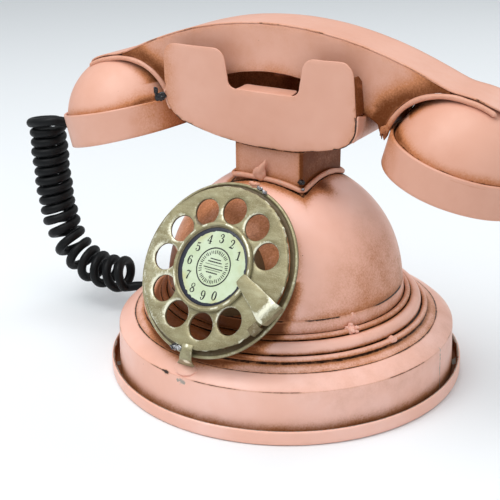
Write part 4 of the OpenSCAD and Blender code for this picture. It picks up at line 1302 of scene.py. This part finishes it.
def can_points():
    """The can from behind the wheel back to the dome, cut to the dome's curve."""
    steps, rows = 180, 12
    top, down = -WHEEL_T - GAP, range(rows + 1)
    rings = []
    for k in range(steps):
        a = FULL * k / steps
        reach = {}
        for r in (CAN_R, CAN_R - SHEET):
            w = 0.0
            for _ in range(60):
                p = on_dial([*polar(r, a), w])
                gap = math.sqrt(p[0] ** 2 + p[1] ** 2 + (p[2] - DOME_C) ** 2) - DOME_R - 0.15
                w -= gap
                if p[2] < DOME_Z:
                    break
            reach[r] = max(w, -CAN_DEPTH)
        ring = [(r, top + (reach[r] - top) * i / rows)
                for r, order in ((CAN_R, down), (CAN_R - SHEET, down[::-1])) for i in order]
        rings.append([(*polar(r, a), w) for r, w in ring])
    return on_dial(np.array(rings).reshape(-1, 3)), loop_faces(steps, len(rings[0]), True, True)


def ring_tint(p):
    r, w, _ = dial_parts(p)
    lip = near(r - RING_R + 0.5, 0.9) * (w > RING_TOP)
    return (0.75 * (1 - lip) + 0.25 * broken(p, 30, 81, 0.3),
            0.5 * (r < RING_R - 1.6) + 0.6 * (w < RING_TOP - 0.5),
            0.42 * lip * broken(p, 14, 82, 0.5))


def wheel_tint(p):
    """Paler edges, partly rubbed and partly painted highlight, painted light towards the left,
    brown inside the holes.
    """
    r, w, q = dial_parts(p)
    hole = hole_edge(q)
    face = w > -0.35
    brown = 0.9 * (~face) * (hole < 0.4) + 0.6 * (w < -WHEEL_T + 0.3) + 0.35 * (~face) * (r > 34)
    brown += 0.32 * near(r - RIM_R, 1.2) + 0.25 * near(r - 35, 2.5) * broken(p, 17, 83, 0.2)
    dirt = 0.75 * seam(np.abs(r - RIM_R), 0.9) * broken(p, 9, 84, 0.6)
    bare = 0.5 * near(hole - 0.15, 0.42) * (w > -0.6) * broken(p, 8, 85, 0.4)
    bare += 0.7 * near(r - WHEEL_R + 0.2, 0.5) * (w > -1.2) * broken(p, 6, 86, 0.35)
    # Painted light: the face is paler towards the left.
    bare += 0.36 * ramp(-q[:, 0] - 0.4 * q[:, 1], 4, 34) * face
    # Painted highlight beside the left side of each hole.
    for centre in HOLE_CENTRES:
        x, y = q[:, 0] - centre[0], q[:, 1] - centre[1]
        d = np.hypot(x, y)
        bare += 0.42 * near(d - HOLE_R - 0.7, 0.9) * np.clip((0.3 * y - 0.95 * x) / d, 0, 1) * face
    return brown, dirt, bare


def rim_tint(p):
    r, w, _ = dial_parts(p)
    bare = 0.75 * near(r - RIM_R + 0.9, 0.55) * (w > 1.2) * broken(p, 7, 87, 0.35)
    brown = 0.5 * (r < RIM_R - 1.6) * (w < 1.6) + 0.3 * near(w, 0.5) + 0.12 * broken(p, 12, 88, 0.2)
    return brown, 0.6 * seam(w, 0.5) * broken(p, 7, 89, 0.5), bare


# Painted shade: the can behind the wheel is brown and dark all over.
gold_piece("dial_can", *can_points(), lambda p: (1.0, 0.3, 0))
turned_gold("dial_rear_ring", (
    [(RING_IN_R, RING_TOP - SHEET), (RING_R - LIP_R, RING_TOP - SHEET - 0.15)]
    + arc((RING_R - LIP_R, LIP_Z), LIP_R, -80, 160, 16)
    + [(RING_R - 2 * LIP_R, RING_TOP + 0.02), (RING_IN_R, RING_TOP)]), 0.4, ring_tint)

# The share of its radius that the wheel's rim has lost all round.
FILED = 0.0105
rough_edge = []
for k in range(720):
    a = FULL * k / 720
    spot = np.array([[*polar(WHEEL_R, a), 0]])
    # The rim is filed unevenly, worst on the right-hand side.
    worn = 0.35 + 0.65 * float(ramp(math.cos(a - math.radians(5)), -0.2, 0.8))
    slow = (float(smooth_noise(spot, 12, 91)[0]) * 0.22
            + float(smooth_noise(spot, 3.2, 92)[0]) * 0.16)
    rough_edge.append(tuple(spot[0, :2] * (1 - FILED + worn * slow / WHEEL_R)))
holes = [arc(centre, HOLE_R - 0.05, 0, 354, 59) for centre in HOLE_CENTRES]


def on_wheel(q):
    """The wheel is a little dished and beaten; its holes' edges are drawn down."""
    q = q.copy()
    away = hole_edge(q)
    q[:, 2] += -WHEEL_T - 0.16 * near(away, 1.0) * (q[:, 2] > 0.5)
    q[:, 2] += 0.10 * smooth_noise(lifted(q[:, :2], 0), 14, 93)
    return on_dial(q)


gold_piece("finger_wheel", *plate([rough_edge, *holes], WHEEL_T - 0.1, step=1.2, edge=0.42,
                                  place=on_wheel), wheel_tint)

roll = (RIM_H - GAP) / 2
turned_gold("dial_rim", (
    [(RIM_R - 2.4, GAP + 0.02), (RIM_R - 0.3, GAP), (RIM_R - 0.08, 0.4)]
    + arc((RIM_R - roll, RIM_H - roll), roll, -20, 165, 18)
    + [(CARD_R + 0.06, 1.0), (CARD_R + 0.05, GAP + 0.1)]), 0.25, rim_tint)

points, faces = plate([arc((0, 0), CARD_R - 0.03, 0, 357, 119)], CARD_T, step=1.5, edge=0.12,
                      place=lambda q: on_dial(q + np.array([0, 0, CARD_Z + 0.02])))
# The print sits a little off the card's middle; the ground round it is navy.
PRINT_C = np.array([0.7, -0.1])


def card_tint(p):
    _, _, q = dial_parts(p)
    out = np.hypot(q[:, 0] - PRINT_C[0], q[:, 1] - PRINT_C[1])
    return 0.6 * ramp(out, 10, 16) * broken(p, 15, 94, 0.3), np.clip((out - 14.7) / 1.4, 0, 1), 0


piece("number_card", points, faces, card_stock, "base", "card", ["number_card"], card_tint)


def stroke(line, step=0.04):
    """A flat pen stroke from (x, y, width) points, with rounded ends."""
    p = spline([tuple(q) for q in line], step) if len(line) > 2 else np.array(line, float)
    d, half = heading(p[:, :2]), p[:, 2:3] / 2
    out = left(d) * half
    tip = p[-1, :2] + d[-1] * half[-1] * 0.5
    tail = p[0, :2] - d[0] * half[0] * 0.5
    return np.vstack([p[:, :2] + out, [tip], (p[:, :2] - out)[::-1], [tail]])


def flat_ink(outline):
    """A thin slab of ink over a closed outline made of matching sides."""
    o = np.array(outline, float)
    n = len(o)
    half = (n - 2) // 2
    points = np.vstack([lifted(o, INK_T), lifted(o, 0)])
    faces = [(i, (i + 1) % n, n + (i + 1) % n, n + i) for i in range(n)]
    faces += [(i, i + 1, n - 3 - i, n - 2 - i) for i in range(half - 1)]
    faces += [(half - 1, half, half + 1), (n - 1, 0, n - 2)]
    return points, faces


def dot(x, y, r, count=14):
    """A round spot of ink as a fan."""
    a = FULL * np.arange(count) / count
    ring = np.column_stack([x + r * np.cos(a), y + r * np.sin(a)])
    points = np.vstack([lifted(ring, INK_T), lifted(ring, 0)])
    faces = [tuple(range(count))] + [(i, (i + 1) % count, count + (i + 1) % count, count + i)
                                     for i in range(count)]
    return points, faces


# Strokes of each figure as x, y and pen width, then its round terminals, all in
# hundredths of its height.
DRAWN = {
    1: ([[(32, 2, 17), (32, 96, 17)], [(8, 77, 5), (30, 94, 8)], [(10, 3, 6), (54, 3, 6)]], []),
    2: ([[(9, 74, 5), (16, 90, 6), (32, 97, 10), (48, 86, 15), (50, 68, 17), (40, 46, 12),
        (20, 22, 6), (6, 7, 6)], [(5, 7, 10), (25, 10, 16), (42, 6, 14), (53, 12, 6),
        (56, 27, 4)]], [(13, 74, 7.5)]),
    3: ([[(9, 78, 4), (18, 93, 6), (32, 97, 9), (46, 86, 15), (45, 68, 14), (34, 55, 7),
        (22, 52, 5)], [(22, 52, 5), (38, 50, 8), (52, 38, 16), (50, 18, 17), (36, 3, 10),
        (18, 3, 6), (8, 16, 5)]], [(13, 76, 7.5), (11, 20, 7.5)]),
    4: ([[(38, 96, 5), (4, 30, 6)], [(3, 28, 8), (60, 28, 8)], [(42, 98, 14), (42, 4, 16)],
        [(24, 3, 5), (58, 3, 5)]], []),
    5: ([[(12, 93, 6), (30, 90, 14), (50, 97, 5)], [(14, 94, 5), (11, 50, 5)], [(11, 52, 5),
        (24, 60, 7), (42, 56, 12), (52, 36, 17), (48, 14, 16), (32, 2, 9), (15, 4, 6),
        (7, 17, 5)]], [(11, 20, 7.5)]),
    6: ([[(50, 84, 5), (42, 96, 6), (30, 97, 7), (16, 82, 13), (9, 56, 17), (9, 30, 17),
        (18, 6, 10), (32, 2, 6), (47, 10, 12), (52, 30, 16), (46, 50, 12), (32, 58, 6),
        (18, 52, 5), (11, 40, 4)]], [(46, 82, 7)]),
    7: ([[(5, 78, 4), (8, 91, 7), (25, 92, 15), (42, 88, 13), (56, 96, 5)], [(56, 96, 5),
        (42, 68, 9), (30, 40, 15), (26, 5, 18)]], []),
    8: ([[(30, 52, 7), (14, 62, 10), (11, 80, 11), (20, 95, 7), (32, 98, 5), (45, 92, 8),
        (49, 77, 10), (40, 62, 8), (30, 54, 10)], [(30, 54, 12), (14, 40, 9), (7, 22, 13),
        (14, 6, 10), (30, 1, 6), (46, 7, 10), (54, 24, 14), (46, 42, 13), (30, 53, 11)]], []),
}


def in_full(points):
    return [tuple(v / 100 for v in q) for q in points]


FIGURES = {k: ([in_full(s) for s in strokes], in_full(dots))
           for k, (strokes, dots) in DRAWN.items()}
# Nine is six turned round, and nought is an oval that thins at its top and foot.
FIGURES[9] = ([[(0.6 - x, 1 - y, w) for x, y, w in FIGURES[6][0][0]]], [(0.14, 0.18, 0.07)])
FIGURES[0] = ([[(0.3 + 0.22 * math.cos(a), 0.5 + 0.47 * math.sin(a), 0.05 + 0.12 * abs(math.cos(a)))
                for a in (math.radians(t) for t in range(90, 465, 15))]], [])
FIGURE_H = 3.9
FIGURE_R = 12.5
FIGURE_TURNS = (35, 64, 91, 118, 147, 177, 207, 237, 267, 293)


def printed():
    """Everything printed on the card."""
    parts = []
    for k, turn in enumerate(FIGURE_TURNS):
        strokes, dots = FIGURES[(k + 1) % 10]
        x, y = polar(FIGURE_R, math.radians(turn))
        corner = np.array([x - 0.3 * FIGURE_H, y - 0.5 * FIGURE_H, 0])
        shapes = [flat_ink(stroke(s)) for s in strokes] + [dot(*d) for d in dots]
        for p, f in shapes:
            parts.append((p * np.array([FIGURE_H, FIGURE_H, 1]) + corner, f))
    # A ring, and inside it a plain pattern: ticks, rules, short bars and a rosette.
    ring = [(*polar(8.2, a), 0.55) for a in np.linspace(0, FULL, 97)]
    parts.append(flat_ink(stroke(ring, 0.6)))
    rng = np.random.default_rng(5)
    for k in range(46):
        a = math.radians(k * 360 / 46 + rng.uniform(-1.2, 1.2))
        if 3 < k % 23 < 5:
            continue
        ends = rng.uniform(5.6, 6.0), rng.uniform(7.0, 7.3)
        parts.append(flat_ink(stroke([(*polar(r, a), 0.32) for r in ends])))
    for y, reach in ((3.3, 2.6), (2.1, 3.4), (-2.6, 2.8)):
        x = -reach
        while x < reach:
            w = rng.uniform(0.35, 0.8)
            parts.append(flat_ink(stroke([(x, y, 0.5), (min(x + w, reach), y, 0.5)])))
            x += w + 0.28
    for y, reach, width in ((0.9, 4.4, 0.18), (-0.6, 4.8, 0.4), (-1.5, 3.9, 0.18)):
        parts.append(flat_ink(stroke([(-reach, y, width), (reach, y, width)])))
    for k in range(6):
        x, y = polar(0.5, FULL * k / 6)
        parts.append(dot(x, -4.4 + y, 0.2, 10))
    parts.append(dot(0, -4.4, 0.16, 8))
    points, faces = joined(parts)
    return on_dial(points + np.array([*PRINT_C, CARD_Z + CARD_T + 0.03])), faces


piece("card_print", *printed(), ink, "base", "card", sharp=180)


# ---------------------------------------------------------------- stop, clip and strap
STOP_START, STOP_TURN = math.radians(-8), math.radians(-31)
STOP_ROOT, STOP_AT = RIM_R - 1.9, (17.2, -2.4)


def stop_place(q):
    """Points along the stop (x outwards, y across, z up) put on the dial."""
    q = np.array(q, float)
    (c, s), root = polar(1, STOP_TURN), polar(STOP_ROOT, STOP_START)
    return on_dial(np.column_stack([
        root[0] + q[:, 0] * c - q[:, 1] * s, root[1] + q[:, 0] * s + q[:, 1] * c, q[:, 2]]))


side_line = spline([(x, 0, z) for x, z in (
    (-1.4, 2.35), (0.3, 2.55), (3, 2.5), (7, 2.25), (12, 2.4), (16, 2.95), (18.4, 3.3), (19.3, 2.9),
    (19.95, 1.8), (20.3, 0.4), (20.42, -1.2), (20.45, -2.7))], 0.3)
widths = np.interp(side_line[:, 0], [-1.5, 0.5, 18.8, 21], [4.6, 6.0, 10.4, 10.4])
widths = widths + 0.25 * smooth_noise(side_line, 6, 95)
widths[-9:] *= np.linspace(1, 0.9, 9)
across = stop_place([(0, 1, 0)])[0] - stop_place([(0, 0, 0)])[0]


def stop_tint(p):
    _, w, q = dial_parts(p)
    c, s = polar(1, STOP_TURN)
    u, v = q[:, 0] - STOP_AT[0], q[:, 1] - STOP_AT[1]
    x, y = u * c + v * s, v * c - u * s
    # Painted highlight along the fold; the top edges are paler too.
    fold_highlight = near(x - 18.0, 2.4) * (w > 2)
    edge = near(np.abs(y) - np.interp(x, [0, 18.8], [2.9, 5.1]), 0.5)
    return 0.3 * (w < 1.0) + 0.15, 0.3 * (w < -1.5), 0.8 * fold_highlight + 0.55 * edge * (w > 1.5)


gold_piece("finger_stop", *ribbon(stop_place(side_line), across, widths, 0.85, crown=0.22),
           stop_tint)

c, s = polar(1, math.radians(-35))
line = spline([(32.9, 0.42), (34.2, 0.4), (35.5, 0.36), (36.0, -0.05), (36.02, -1.2),
               (36.0, -2.6)], 0.25)
points, faces = ribbon(on_dial([(r * c, r * s, w) for r, w in line]),
                       on_dial([(-s, c, 0)])[0] - on_dial([(0, 0, 0)])[0], 5.0, 0.58, crown=0.05)
gold_piece("dial_edge_clip", points, faces, lambda p: (0.55, 0.2, 0.35 * broken(p, 3, 96, 0.2)))

strap_line = np.vstack([on_dial([(0.3, -33.4, 0.05), (0.2, -34.2, 0.22), (0.1, -35.0, 0.34)]),
                        [(-1.9, -78.95, 36.3), (-2.4, -78.95, 34.4), (-3.0, -78.6, 32.1),
                         (-4.2, -76.9, 30.0), (-5.4, -74.9, 27.8), (-5.8, -74.7, 26.8)]])
strap_line = spline([tuple(q) for q in strap_line], 0.35)
width = np.interp(strap_line[:, 2], [26.5, 29, 33, 37, 40], [8.6, 7.4, 6.0, 5.2, 5.0])
width = width * (1 + 0.05 * smooth_noise(strap_line, 5, 97))


def strap_tint(p):
    low = ramp(-p[:, 2], -29.5, -27)
    # Painted highlight: a pale stripe down the strap, over pale patches along it.
    highlight_and_wear = 0.95 * near(p[:, 0] - np.interp(p[:, 2], [27, 37], [-3.6, -1.2]), 1.1) + 0.3
    return 0.35 * broken(p, 5, 98, 0.1), 0.2 * low, highlight_and_wear * broken(p, 5, 99, 0.6)


gold_piece("dial_foot_strap", *ribbon(strap_line, (1, 0, 0), width, 0.75, crown=0.3), strap_tint)


# ---------------------------------------------------------------- gland and grommet
def turned_along(section, step, start, axis):
    """A closed section of (distance along, radius) turned about an axis."""
    line, d = spaced(section, step, closed=True), np.array(axis, float)
    d /= np.linalg.norm(d)
    u = np.cross(d, (0, 1, 0))
    u /= np.linalg.norm(u)
    v = np.cross(d, u)
    turns = np.linspace(0, FULL, 48, endpoint=False)
    p = np.array([[np.array(start) + d * x + r * (math.cos(t) * u + math.sin(t) * v)
                   for x, r in line] for t in turns])
    return p.reshape(-1, 3), loop_faces(len(turns), len(line), True, True)


c, s = polar(1, CUP_TILT)
# It stands on the outside of the left band, a little way up from the cup's mouth.
GLAND_R, GLAND_H = 33.1, 6
gland_start = (-CUP_X - GLAND_R * c - GLAND_H * s, 0, CUP_Z - GLAND_R * s + GLAND_H * c)
gland = [(0.0, 2.1), (0.0, 3.3), (0.25, 3.5), (1.1, 3.45), (1.25, 3.15), (1.6, 3.15), (1.75, 3.35),
         (2.4, 3.2), (2.55, 2.9), (2.9, 2.9), (3.05, 3.05), (3.9, 2.85), (4.6, 2.7), (4.85, 2.5),
         (4.88, 2.08)]
piece("cord_gland", *turned_along(gland, 0.22, gland_start, (-c, 0, -s)), black, "handset",
      "cord_rubber", ["cord_gland"])
grommet = [(0.0, 2.1), (0.0, 4.2), (0.3, 4.45), (1.0, 4.48), (1.4, 4.2), (1.6, 3.5), (2.6, 3.2),
           (3.1, 2.9), (3.3, 2.5), (3.33, 2.1)]
piece("cord_grommet", *turned_along(grommet, 0.25, (-79.0, 0, 18), (-1, 0, 0)), black, "base",
      "cord_rubber", ["cord_grommet"])


# ---------------------------------------------------------------- solder
def lump(name, centre, sizes, seed, rough, material, tint=(0.1, 0, 0), turn=None,
         body="base"):
    piece(name, *blob(centre, sizes, seed, rough, turn=turn), material, body,
          "bare_tin" if material is solder else "pink_paint", tint=lambda p: tint, warp=False)


# The wire is knotted in front of the neck, with a tail standing up from the knot.
knot = blob((-2.2, -18.9, 96.3), (3.1, 1.5, 3.2), 401, 0.22)
tail = spline([(-1.6, -19.0, 97.6), (-0.8, -19.1, 99.4), (0.2, -18.9, 101.0),
               (0.5, -18.6, 102.6)], 0.3)
tail = swept(tail, np.linspace(1.9, 0.28, len(tail)), 12)
piece("wire_knot", *joined([knot, tail]), pink, "base", "pink_paint",
      tint=lambda p: (0.15 + 0.4 * ramp(-p[:, 2], -95.5, -93), 0, 0), warp=False)
lump("corner_solder", (18.0, -17.9, 95.0), (1.6, 1.3, 0.9), 402, 0.4, solder, (0, 0.75, 0))
lump("corner_drop", (19.4, -19.0, 92.2), (0.8, 0.7, 0.7), 403, 0.3, solder)
lump("dial_top_drop", on_dial([5.4, 38.3, -3.0]), (2.2, 1.0, 1.4), 404, 0.5, pink, (0.2, 0, 0))
lump("dial_top_solder", on_dial([8.6, 37.0, -2.5]), (1.4, 0.9, 0.9), 405, 0.5, solder)
lump("dial_top_solder_2", on_dial([11.6, 35.9, -2.4]), (1.3, 0.8, 0.9), 406, 0.5, solder)
# A spatter of enamel on the beads: one drop with six small ones round it.
STAR = (49.0, -29.4, 37.4)
star = [blob(STAR, (2.1, 2.1, 1.9), 407, 0.3)]
for way in ((-1.2, 0.5, 2.6), (-2.4, -1.2, 1.0), (2.2, 1.2, 1.4), (2.3, 1.0, -1.0),
            (-0.5, -0.9, -2.3), (-2.2, -1.4, -1.3)):
    star.append(blob([c + 0.75 * x for c, x in zip(STAR, way)], (1.0, 1.0, 0.9), 408, 0.5, 3))
piece("bead_star", *joined(star), rose, "base", "pink_paint", tint=lambda p: (0.05, 0, 0),
      warp=False)
lump("seam_chip", (47.4, -25.9, 42.3), (1.2, 1.2, 1.5), 409, 0.4, rose, (0.15, 0.3, 0))
lump("bead_drop", (62.6, -17.1, 31.2), (2.1, 2.3, 1.3), 410, 0.35, rose, (0.2, 0.25, 0))
lump("strap_solder", on_dial([-6.6, -36.2, -1.6]), (1.9, 1.6, 1.5), 411, 0.5, solder, (0, 0.35, 0))
lump("strap_solder_2", on_dial([-4.4, -36.0, -0.4]), (1.3, 1.0, 0.9), 412, 0.5, solder)
c, s = polar(1, math.radians(31))
slope = [(1, 0, 0), (0, c, -s), (0, s, c)]
lump("strap_flare", (-5.4, -75.0, 25.0), (5.6, 3.2, 1.3), 413, 0.12, rose, (0, 0, 0), slope)
# The first lies against the cradle's front left tab and the second on the first, so both
# stay on the base when the handset lifts.
lump("crease_solder", (-52.6, -20.8, 124.8), (2.6, 1.2, 2.0), 414, 0.4, solder, (0, 0.8, 0))
lump("crease_solder_2", (-55.0, -21.0, 127.0), (0.9, 0.8, 2.0), 415, 0.4, solder, (0, 0.6, 0))
lump("tip_solder", (53.4, -13.0, 121.6), (1.7, 1.1, 1.6), 416, 0.5, pink, (0.6, 0.5, 0),
     body="handset")


# ---------------------------------------------------------------- studio
def lamp(name, place, target, size, power):
    data = bpy.data.lights.new(name, "AREA")
    data.size, data.energy = size, power
    made = bpy.data.objects.new(name, data)
    made.location = place
    made.rotation_mode = "QUATERNION"
    made.rotation_quaternion = (Vector(place) - Vector(target)).to_track_quat("Z", "Y")
    bpy.context.scene.collection.objects.link(made)


def make_stage():
    mesh = bpy.data.meshes.new("floor")
    mesh.from_pydata([(-3, -3, 0), (3, -3, 0), (3, 3, 0), (-3, 3, 0)], [], [(0, 1, 2, 3)])
    mesh.materials.append(Nodes("floor").finish(srgb(231, 235, 238), 0.7))
    floor = bpy.data.objects.new("floor", mesh)
    bpy.context.scene.collection.objects.link(floor)


make_stage()
world = bpy.data.worlds.new("studio")
bpy.context.scene.world = world
world.use_nodes = True
sky = world.node_tree.nodes["Background"].inputs
sky["Color"].default_value, sky["Strength"].default_value = (0.95, 0.98, 1.0, 1), 0.5
lamp("key", (-0.35, -0.6, 0.95), (0, 0, 0.08), 0.6, 3.9)
lamp("top", (-0.15, -0.2, 1.3), (0, 0, 0.05), 1.0, 10.0)
lamp("fill", (0.9, -0.7, 0.5), (0, 0, 0.05), 0.8, 2.0)
lamp("back", (0.3, 0.9, 0.8), (0, 0, 0.08), 0.8, 2.5)
bpy.context.scene.view_settings.view_transform = "Standard"
